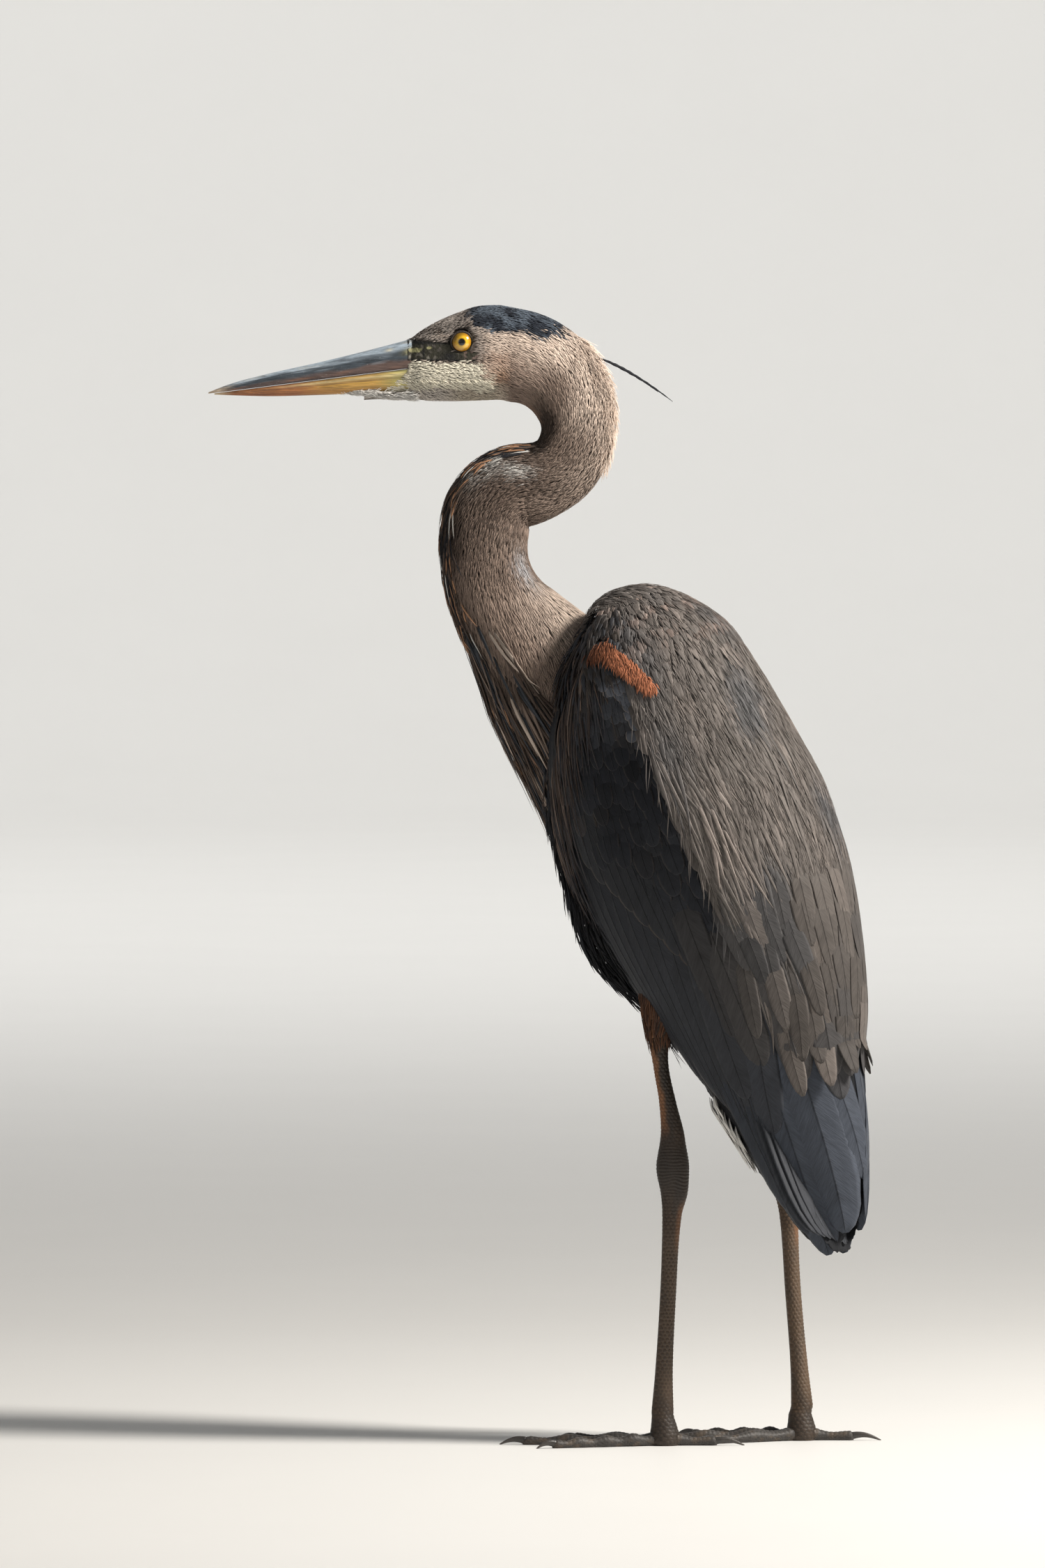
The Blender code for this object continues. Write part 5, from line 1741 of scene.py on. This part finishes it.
class HERON_OT_bill(bpy.types.Operator):
    """Make both mandibles with their ridge, nostril slits and cutting edges, and the chin's feathers"""

    bl_idname = "heron.bill"
    bl_label = "Bill"

    def execute(self, context):
        self.mandibles()
        self.chin(np.random.default_rng(72))
        return {"FINISHED"}

    def mandibles(self):
        """The horn of both, as half tubes that meet at the line of the mouth."""
        rows, around = 220, 56
        start, tip = np.array((BILL_BASE[0], 0, BILL_BASE[1])), np.array((BILL_TIP[0], 0, BILL_TIP[1]))
        for name, table, up, slot, painter in (("bill_upper", UPPER_BILL, 1, "bill_slate", upper_bill_tint),
                                               ("bill_lower", LOWER_BILL, -1, "bill_ochre", lower_bill_tint)):
            share = np.linspace(-0.085, table[-1][0], rows)[:, None]
            turn = np.linspace(0, math.pi, around)[None]
            high, wide = (side * (1 + 1.6 * np.minimum(share, 0)) for side in along(table, share))
            rise = np.sin(turn) ** 0.8 + 0 * share
            aside = np.cos(turn)
            if up > 0:
                slit = ridge(rise - 0.56 + 0.25 * share, 0.055)
                slit = slit * soft(-share, -0.27, -0.22) * soft(share, 0.02, 0.04)
                furrow = ridge(rise - 0.60, 0.13) * soft(-share, -0.85, -0.3)
                press = 1.1 * slit + 0.45 * furrow
            else:
                press = 0.35 * ridge(rise - 0.35, 0.12) * soft(-share, -0.8, -0.3)
            lip = 0.25 * soft(-rise, -0.10, -0.03)
            centre = start + (tip - start) * share[..., None]
            push = (1 - (press - lip) / np.maximum(np.hypot(wide * aside, high * rise), 0.8))
            points = places(
                centre[..., 0] + 0 * rise, HEAD_PLANE_Y + wide * aside * push,
                centre[..., 2] + up * (0.15 + high * rise * push)
            )
            field = 0.55 * ripple(share * 22, rise * 9 + aside * 2, 3.2, 71 + up)
            field = field + 0.6 * ripple(share * 14, rise * 34, 3.0, 75)
            tint = painter(share + 0 * rise, rise, field)
            faces = mirrored(tube_faces(rows, around), up > 0)
            make_piece(name + "_horn", points, tint, faces, bill_material, slot, (name,), angle=50)
    def chin(self, rng):
        """White feathers on the chin, and pale ones along the base of the lower mandible."""
        total = 900

        def under(u, v):
            top, bottom, half = along(CHIN, u)
            turn = np.radians(v)
            return places(
                u, HEAD_PLANE_Y - half * np.sin(turn), (top + bottom) / 2 + (top - bottom) / 2 * np.cos(turn)
            )

        coat = Coat((-260, -180, 60, 300), rng)
        u = -190 - 60 * rng.random(total) ** 1.2
        v = rng.uniform(95, 265, total)
        coat.lay(
            Zone(under), u, v, (4, 7.5), (0.45, 0.85), bell(14), WHITE * 1.15, low=-0.8, high=(0.0, 1.0),
            kind=WISP, thick=0.2, lift=(0, 0.2), tip_light=0.1, vary=0.12
        )
        reach = BILL_TIP[0] - BILL_BASE[0]

        def jaw(u, v):
            high, wide = along(LOWER_BILL, np.clip((u - BILL_BASE[0]) / reach, 0, 1))
            middle = BILL_BASE[1] + (BILL_TIP[1] - BILL_BASE[1]) * (u - BILL_BASE[0]) / reach
            turn = np.radians(v)
            return places(u, HEAD_PLANE_Y - wide * np.sin(turn), middle + high * np.cos(turn))

        total = 1500
        u, v = rng.uniform(-214, -184, total), rng.uniform(92, 180, total) * rng.choice((-1, 1), total)
        top = np.interp(u, (-214, -206, -198, -191, -186), (724, 727.5, 733, 741, 744.5))
        top = top + rng.normal(0, 0.8, total)
        keep = Zone(jaw).point(u, v)[:, 2] < top
        u, v = u[keep], v[keep]
        total = len(u)
        coat.lay(
            Zone(jaw), u, v, rng.uniform(3.5, 6, total), rng.uniform(0.5, 0.85, total),
            np.sign(v) * rng.uniform(0, 25, total), CHEEK_WHITE, low=-0.6, high=(0.2, 0.8), thick=0.18,
            lift=(0, 0.06), tip_light=0.15, vary=0.1
        )
        coat.make("chin_feathers", down_material, "plumage_white")


def eye_material(name):
    """A wet eye: fine rays in the iris under a clear coat."""
    s = Shader(name, Specular_IOR_Level=0.6, Coat_Weight=1.0, Coat_Roughness=0.02, Roughness=0.12)
    x, _, z = s.parts(s.node("ShaderNodeTexCoord", None, None, "Object"))
    middle = to_frame(np.array((EYE_CENTRE[0], 0, EYE_CENTRE[1])))
    turn = z.math("ARCTAN2", z - float(middle[2]), x - float(middle[0]))
    rays = s.noise(s.node("ShaderNodeCombineXYZ", None, {0: turn * 9.0}), 1.0, 3.0)
    return s.feed_all(Base_Color=s.shade(s.attribute("tint"), rays * 0.28 + 1.0))


def lid_material(name):
    s = Shader(name, Roughness=0.55, Specular_IOR_Level=0.4)
    beads = s.noise(s.place(), 0.5, 2.0)
    colour = s.shade(s.attribute("tint"), beads * 0.3 + 1.0)
    return s.feed_all(Base_Color=colour, Normal=s.bump(beads, 0.15))


class HERON_OT_eyes(bpy.types.Operator):
    """Make the eyes, with pupil, iris and cornea, and the bare lids round them"""

    bl_idname = "heron.eyes"
    bl_label = "Eyes"

    def execute(self, context):
        amber = np.array(context.scene.heron_colours.iris)
        for side, hand in SIDES.items():
            self.ball(side, hand, amber, context.scene.heron_sizes.pupil)
            self.lid(side, hand)
        return {"FINISHED"}

    def ball(self, side, hand, amber, pupil):
        """Iris and pupil under a bulging cornea."""
        rings, around = 44, 72
        turn = ring(around)
        lean = np.linspace(0.01, math.pi * 0.8, rings)[:, None]
        radius = EYE_RADIUS * np.sin(lean)
        bulge = 0.5 * np.clip(1 - (radius / 6.6) ** 2, 0, 1) * (lean < 1.5)
        out = EYE_OFFSET + EYE_RADIUS * np.cos(lean) + bulge
        points = places(
            EYE_CENTRE[0] + radius * np.cos(turn), HEAD_PLANE_Y - hand * out,
            EYE_CENTRE[1] + radius * np.sin(turn)
        )
        reach = np.where(lean < math.pi / 2, radius, 20) + 0 * turn
        # Painted shade: the iris is darker on its upper front side, under the thick part of the lid.
        shade = soft(np.cos(turn - 2.2) * reach + 0 * lean, 1.5, 5.5)
        tint = blend(amber * 1.3, amber * colour_of(0.7, 0.55, 0.4), soft(reach, 3.4, 6.0))
        tint = layers(
            tint,
            (amber * 0.35, 0.8 * shade),
            (INK * 0.4, 1 - soft(reach, pupil - 0.12, pupil + 0.12)),
            (INK * 0.5, soft(reach, 6.1, 6.6)),
        )
        faces = mirrored(tube_faces(rings, around), hand < 0)
        make_piece(f"eyeball_{side}", points, tint, faces, eye_material, "iris", (f"eye_{side}",))

    def lid(self, side, hand):
        """A beaded ring round the eye."""
        lid_turn = np.linspace(0, math.tau, 90, endpoint=False)[:, None]
        round_turn = ring(14)
        wave = 1 + 0.06 * np.sin(lid_turn * 23) + 0.05 * np.sin(lid_turn * 37 + 1)
        fat = 0.72 * wave * (1 + 0.3 * np.cos(lid_turn - 2.2))
        reach = 7.35 + fat * np.cos(round_turn)
        out = 14.9 + 1.0 * fat * np.sin(round_turn) - 0.5 * np.cos(lid_turn)
        points = places(
            EYE_CENTRE[0] + reach * np.cos(lid_turn), HEAD_PLANE_Y - hand * out,
            EYE_CENTRE[1] + reach * np.sin(lid_turn) * 0.97
        )
        pale = soft(np.cos(round_turn) + 0 * lid_turn, 0.4, 0.9) * soft(np.cos(lid_turn + 0.3), 0.2, 0.8)
        tint = blend(colour_of(0.028, 0.02, 0.016), colour_of(0.50, 0.40, 0.26), 0.8 * pale)
        i, j = np.meshgrid(np.arange(90), np.arange(14), indexing="ij")
        quads = places(
            i * 14 + j, i * 14 + (j + 1) % 14, (i + 1) % 90 * 14 + (j + 1) % 14, (i + 1) % 90 * 14 + j
        )
        faces = mirrored([quads.reshape(-1, 4)], hand < 0)
        make_piece(f"lid_{side}", points, tint, faces, lid_material, "face")


# ---- Legs and feet ----
def leg_material(name):
    s = Shader(name, Specular_IOR_Level=0.4)
    stain = s.noise(s.place((1, 1, 0.4)), 9.0)
    fine = s.noise(s.place(), 0.8)
    colour = s.shade(s.attribute("tint"), stain * 0.35 + fine * 0.25 + 1.0)
    return s.feed_all(Base_Color=colour, Roughness=fine * 0.12 + 0.52, Normal=s.bump(fine, 0.12))


def claw_material(name):
    s = Shader(name, Specular_IOR_Level=0.5, Coat_Weight=0.2)
    grain = s.noise(s.place((1, 1, 0.3)), 0.7)
    colour = s.shade(s.attribute("tint"), grain * 0.4 + 1.0)
    return s.feed_all(Base_Color=colour, Roughness=grain * 0.1 + 0.38, Normal=s.bump(grain, 0.08))


def scales(x, y, size):
    """How near a place is to the groove between six-sided scales: 1 in the groove, 0 on a scale."""
    row = size * HEX_ROW
    nearest = np.full(np.shape(x), 1e9)
    second = nearest.copy()
    base = np.floor(y / row)
    for step in (-1, 0, 1, 2):
        line = base + step
        shift = (line % 2) * 0.5
        column = np.floor(x / size - shift)
        for more in (-1, 0, 1, 2):
            centre_x, centre_y = (column + more + shift) * size, line * row
            centre_x = centre_x + 0.16 * size * np.sin(line * 12.9 + (column + more) * 7.7)
            gap = np.hypot(x - centre_x, y - centre_y)
            second = np.minimum(second, np.maximum(gap, nearest))
            nearest = np.minimum(nearest, gap)
    return ridge(second - nearest, 0.21 * size)


class HERON_OT_legs(bpy.types.Operator):
    """Make the bare legs and feet in scaled skin, and the claws"""

    bl_idname = "heron.legs"
    bl_label = "Legs and feet"

    def execute(self, context):
        for side in SIDES:
            self.leg(side)
            self.foot(side)
        return {"FINISHED"}

    def leg(self, side):
        """The bare leg down to the floor: six-sided scales, and shields down its front."""
        zone, top = leg_zone(side), LEG_STEPS[side][0][1]
        start, around = (top - 300 if side == "left" else top - 280), 72
        level = np.concatenate(
            (np.arange(top - start, FOOT_LEVEL, -0.62), np.linspace(FOOT_LEVEL, 0.02, 34))
        )[:, None]
        v = np.linspace(-180, 180, around, endpoint=False)[None]
        level, v = np.broadcast_arrays(level, v)
        points = zone.point(top - level, v)
        hub_x, hub_y = FOOT_PLACE[side]
        radius = np.interp(level, (0, 3, 8, 13, 18, 22), (9.4, 10.4, 10.0, 8.9, 7.9, 7.2))
        shift = np.interp(level, (8, 13, 18, 22), (0, -0.4, -1.0, -1.3))
        turn = np.radians(v)
        hub = places(hub_x + shift + radius * np.cos(turn), hub_y - 0.92 * radius * np.sin(turn), level)
        share = soft(level, 17, 25)[..., None]
        points = hub * (1 - share) + points * share
        normal = zone.normal(top - np.maximum(level, 24), v)
        girth = np.interp(
            level, (22, 50, 105, 158, 174, 191, 210, 236, 260), (7, 5.6, 5.1, 6.2, 8.4, 10, 7.8, 5.6, 5.1)
        )
        arc = np.radians(v) * girth
        front = np.clip(-np.cos(turn), 0, 1)
        plates = ridge((level + 0.7 * np.sin(v * 0.03)) % SHIELD_PITCH["leg"] - 0.6, 0.42)
        six = scales(arc, level, SCALE_SIZE["leg"])
        bone = soft(-level, -152, -140)
        plate_share = soft(front, 0.45, 0.7) * bone
        ankle = np.exp(-(((level - ANKLE_LEVEL) / 21) ** 4))
        folds = 0.5 + 0.5 * np.sin(level * 2.9 + 1.3 * np.sin(v * 0.05) + 2 * ripple(arc, level, 9, 83))
        groove = plate_share * plates + (1 - plate_share) * six * (1 - 0.6 * ankle)
        points = points - normal * (0.5 * groove + 0.4 * ankle * folds - 0.14)[..., None]
        points[..., 2] = np.maximum(points[..., 2], 0.02)
        dark = colour_of(0.034, 0.027, 0.022)
        # Painted shade: the left leg's umber is darker than the right leg's.
        umber = colour_of(0.062, 0.040, 0.026) if side == "left" else colour_of(0.085, 0.052, 0.030)
        orange = colour_of(0.26, 0.115, 0.048)
        tint = blend(umber, dark, 0.55 * soft(ripple(arc, level, 12, 81), -0.1, 0.8))
        tibia = soft(level, 208, 226)
        tint = layers(
            tint,
            (orange, 0.85 * tibia * soft(front + 0.15 * ripple(arc, level, 9, 82), 0.15, 0.75)),
            (dark * 0.8, tibia * soft(-front, -0.2, 0.1) * 0.85),
            (
                orange * 0.85,
                0.7 * soft(np.cos(turn), 0.3, 0.8) * soft(level, 128, 145) * soft(-level, -172, -160),
            ),
            (dark * 0.85, 0.8 * ankle),
        )
        net = blend(tint * 0.4, colour_of(0.17, 0.12, 0.08), 0.75 * bone * (1 - ankle) * soft(level, 24, 40))
        tint = layers(
            tint,
            (net, groove * 0.75),
            (dark * 0.9, soft(-level, -26, -14) * 0.6),
        )
        nodes = [f"leg_{side}_{part}" for part in ("shank", "heel", "tarsus")]
        faces = mirrored(tube_faces(len(level), around))
        make_piece(f"leg_{side}_scaled_skin", points, tint, faces, leg_material, "leg", nodes)

    def foot(self, side):
        """The toes and claws."""
        hub = np.array((*FOOT_PLACE[side], 0.0))
        toes, claws, count, claw_count = ([], [], []), ([], [], []), 0, 0
        for toe, (angle, length, joints) in TOES.items():
            turn = math.radians(180 + FOOT_TURN[side] - angle * SIDES[side])
            ahead = np.array((math.cos(turn), math.sin(turn), 0))
            aside = np.array((-math.sin(turn), math.cos(turn), 0))
            rows, around = int(length / 0.75), 36
            share, spin = np.linspace(0, 1, rows)[:, None], ring(around)
            knobs = 1 + 0.16 * np.cos(math.tau * share * joints)
            blunt = np.sqrt(np.clip(1 - (np.clip(share - 0.93, 0, 1) / 0.075) ** 2, 0.12, 1))
            radius = TOE_RADIUS * (1 - 0.36 * share) * knobs * blunt
            span = 4.0 + (length - 4.0) * share
            top = np.clip(np.sin(spin), 0, 1)
            plates = ridge((span + 0.4 * np.cos(spin)) % SHIELD_PITCH["toe"] - 0.5, 0.36)
            plates = plates * soft(top, 0.25, 0.55)
            six = scales(spin * radius, span, SCALE_SIZE["toe"]) * (1 - soft(top, 0.25, 0.55))
            groove = plates + six
            rough = radius - 0.34 * groove + 0.1
            centre = hub + ahead * span[..., None]
            points = centre + aside * (rough * np.cos(spin))[..., None]
            points[..., 2] = np.maximum(radius * 0.84 + rough * np.sin(spin), 0.02 + 0.2 * groove)
            tint = blend(colour_of(0.058, 0.052, 0.048), colour_of(0.12, 0.088, 0.062),
                         0.6 * soft(ripple(span + 0 * spin, spin * 4, 8, 85), 0, 1))
            tint = blend(tint, tint * 0.35, groove * 0.7)
            toes[0].append(points.reshape(-1, 3))
            toes[1].append([group + count for group in tube_faces(rows, around)])
            toes[2].append(tint.reshape(-1, 3))
            count += rows * around
            rows, around = 30, 20
            share, spin = np.linspace(0, 1, rows)[:, None], ring(around)
            radius = 2.55 * np.sqrt(np.clip(1 - share, 0, 1)) * (1 - 0.35 * share) + 0.22
            arch = 2.6 * np.sin(math.pi * np.minimum(1.0, share * 0.9 + 0.1)) + 2.0 * (1 - share)
            centre = hub + ahead * (length - 2.2 + (CLAW_LENGTH[toe] + 2.2) * share)[..., None]
            points = centre + aside * (0.72 * radius * np.cos(spin))[..., None]
            points[..., 2] = np.maximum(np.maximum(arch, radius * 0.8) + radius * np.sin(spin), 0.02)
            tint = blend(colour_of(0.03, 0.027, 0.025), colour_of(0.12, 0.10, 0.085), 0.5 * share + 0 * spin)
            claws[0].append(points.reshape(-1, 3))
            claws[1].append([group + claw_count for group in tube_faces(rows, around)])
            claws[2].append(tint.reshape(-1, 3))
            claw_count += rows * around
        for name, (points, faces, tint), maker, slot, nodes in (
            (f"toes_{side}_scaled_skin", toes, leg_material, "leg",
             [f"foot_{side}_hub", *(f"foot_{side}_toe_{toe}" for toe in TOES)]),
            (f"claws_{side}", claws, claw_material, "claw", [f"foot_{side}_claw_{toe}" for toe in TOES]),
        ):
            quads = np.concatenate([group[0] for group in faces])
            caps = [cap for group in faces for cap in group[1:]]
            faces = [quads, np.concatenate(caps)]
            make_piece(name, np.concatenate(points), np.concatenate(tint), faces, maker, slot, nodes)


# ---- Studio, in metres ----
# The floor is flat, bends up and ends as a wall all round.
FLOOR_REACH, FLOOR_BEND, WALL_TOP = 12.5, 3.0, 11.0
LAMPS = {  # place from the bird, the place in the frame it is aimed at (none: the bird), size, colour
    "key": ((2.15, -0.85, 2.35), None, 0.7, (1.0, 0.95, 0.88)),
    "fill": ((-2.2, -2.6, 1.5), None, 2.4, (0.90, 0.95, 1.0)),
    "sweep": ((0.0, 6.0, 9.0), (0.0, 15.5, 4.0), 6.0, (1.0, 0.99, 0.97)),
}
BODY_AIM, VIEW_AIM = (-20.0, 20.0, 450.0), (-112.8, 0.0, 454.0)  # in the plan, mm
SENSOR_HEIGHT = 24.0  # mm


def floor_material(name):
    s = Shader(name, Roughness=0.6, Specular_IOR_Level=0.2)
    cloud = s.noise(s.place(), 260.0)
    grey = s.node("ShaderNodeCombineXYZ", None, {0: 0.78, 1: 0.775, 2: 0.76})
    return s.feed_all(Base_Color=s.shade(grey, cloud * 0.015 + 1.0))


class HERON_OT_studio(bpy.types.Operator):
    """Set the pale floor with its far wall, the soft lights and the camera"""

    bl_idname = "heron.studio"
    bl_label = "Studio"

    def execute(self, context):
        scene, sizes = context.scene, context.scene.heron_sizes
        self.floor(scene)
        self.lights(scene, sizes)
        self.room(scene, sizes)
        self.camera(scene, sizes)
        return {"FINISHED"}

    def floor(self, scene):
        """The pale floor and its wall in one sheet."""
        bend = np.linspace(0, math.pi / 2, 24)
        out = np.concatenate(
            ((0.01,), FLOOR_REACH + FLOOR_BEND * np.sin(bend), (FLOOR_REACH + FLOOR_BEND,))
        )[:, None]
        high = np.concatenate(((0.0,), FLOOR_BEND - FLOOR_BEND * np.cos(bend), (WALL_TOP,)))[:, None]
        turn = ring(96)
        points = places(out * np.cos(turn), out * np.sin(turn), high).reshape(-1, 3)
        data = bpy.data.meshes.new("floor")
        rings, middle, _ = tube_faces(len(out), 96)
        data.from_pydata(points.tolist(), [], rings.tolist() + middle.tolist())
        data.polygons.foreach_set("use_smooth", [True] * len(data.polygons))
        data.materials.append(found(floor_material))
        floor = bpy.data.objects.new("floor", data)
        scene.collection.objects.link(floor)

    def lights(self, scene, sizes):
        """Two soft lamps on the bird, and one on the wall behind it."""
        target = Vector(to_frame(BODY_AIM))
        for name, (place, aim, width, colour) in LAMPS.items():
            lamp = bpy.data.lights.new(name, "AREA")
            lamp.shape, lamp.size, lamp.color = "DISK", width, colour
            lamp.energy = getattr(sizes, name + "_power")
            light = bpy.data.objects.new(name, lamp)
            light.location = Vector(place) + Vector((target.x, target.y, 0))
            aim = Vector(aim) if aim else target
            light.rotation_euler = (aim - light.location).to_track_quat("-Z", "Y").to_euler()
            scene.collection.objects.link(light)

    def room(self, scene, sizes):
        world = bpy.data.worlds.new("studio")
        world.use_nodes = True
        world.node_tree.nodes["Background"].inputs["Color"].default_value = (0.80, 0.81, 0.82, 1)
        world.node_tree.nodes["Background"].inputs["Strength"].default_value = sizes.room_light
        scene.world = world
        scene.view_settings.view_transform = "Standard"

    def camera(self, scene, sizes):
        rise = math.radians(sizes.camera_rise)
        aim = Vector(to_frame(VIEW_AIM))
        camera = bpy.data.cameras.new("camera")
        camera.sensor_fit, camera.sensor_height = "VERTICAL", SENSOR_HEIGHT
        camera.lens = SENSOR_HEIGHT * sizes.camera_distance / sizes.view_height
        camera.clip_end = 100.0
        viewer = bpy.data.objects.new("camera", camera)
        viewer.location = aim + Vector((0, -math.cos(rise), math.sin(rise))) * sizes.camera_distance
        viewer.rotation_euler = (aim - viewer.location).to_track_quat("-Z", "Y").to_euler()
        scene.collection.objects.link(viewer)
        scene.camera = viewer


# ---- Add-on ----
class HeronSizes(bpy.types.PropertyGroup):
    skin_grain: FloatProperty(
        name="Skin grain", description="Size of the skin's mesh cells", default=0.0026, min=0.0015, max=0.006,
        unit="LENGTH", precision=4
    )
    breast_plumes: IntProperty(
        name="Breast plumes", description="How many long plumes hang from the foreneck", default=420, min=0,
        max=1500
    )
    mantle_plumes: IntProperty(
        name="Mantle plumes", description="How many long plumes lie over the back", default=300, min=0,
        max=1500
    )
    pupil: FloatProperty(name="Pupil radius", description="In millimetres", default=2.65, min=0.5, max=5)
    key_power: FloatProperty(
        name="Key light", description="Power of the key light", default=165, min=0, unit="POWER"
    )
    fill_power: FloatProperty(
        name="Fill light", description="Power of the fill light", default=5, min=0, unit="POWER"
    )
    sweep_power: FloatProperty(
        name="Sweep light", description="Power of the light on the wall behind the bird", default=950, min=0,
        unit="POWER"
    )
    room_light: FloatProperty(
        name="Room light", description="Brightness of the pale room", default=0.17, min=0
    )
    camera_distance: FloatProperty(
        name="Camera distance", description="From the camera to the bird", default=11.0, min=1, unit="LENGTH"
    )
    view_height: FloatProperty(
        name="View height", description="Height of the view at the bird", default=1.08, min=0.1, unit="LENGTH"
    )
    camera_rise: FloatProperty(name="Camera rise", description="Degrees the camera looks down", default=1.8)


class HeronColours(bpy.types.PropertyGroup):
    iris: FloatVectorProperty(
        name="Iris", description="Colour of the iris", default=(0.64, 0.37, 0.02), size=3, min=0, max=1,
        subtype="COLOR"
    )


STEPS = (HERON_OT_skin, HERON_OT_head_feathers, HERON_OT_neck_feathers, HERON_OT_plumes, HERON_OT_mantle,
         HERON_OT_wings, HERON_OT_under_parts, HERON_OT_bill, HERON_OT_eyes, HERON_OT_legs, HERON_OT_studio)


class HERON_PT_panel(bpy.types.Panel):
    bl_idname = "HERON_PT_panel"
    bl_label = "Great blue heron"
    bl_space_type = "VIEW_3D"
    bl_region_type = "UI"
    bl_category = "Heron"

    def draw(self, context):
        for group in (context.scene.heron_sizes, context.scene.heron_colours):
            for key in group.__annotations__:
                self.layout.prop(group, key)
        for step in STEPS:
            self.layout.operator(step.bl_idname)


CLASSES = (HeronSizes, HeronColours, *STEPS, HERON_PT_panel)


def register():
    for kind in CLASSES:
        bpy.utils.register_class(kind)
    bpy.types.Scene.heron_sizes = PointerProperty(type=HeronSizes)
    bpy.types.Scene.heron_colours = PointerProperty(type=HeronColours)


def unregister():
    del bpy.types.Scene.heron_sizes, bpy.types.Scene.heron_colours
    for kind in reversed(CLASSES):
        bpy.utils.unregister_class(kind)


def main():
    register()
    for step in STEPS:
        getattr(bpy.ops.heron, step.bl_idname.split(".")[1])()


if __name__ == "__main__":
    main()
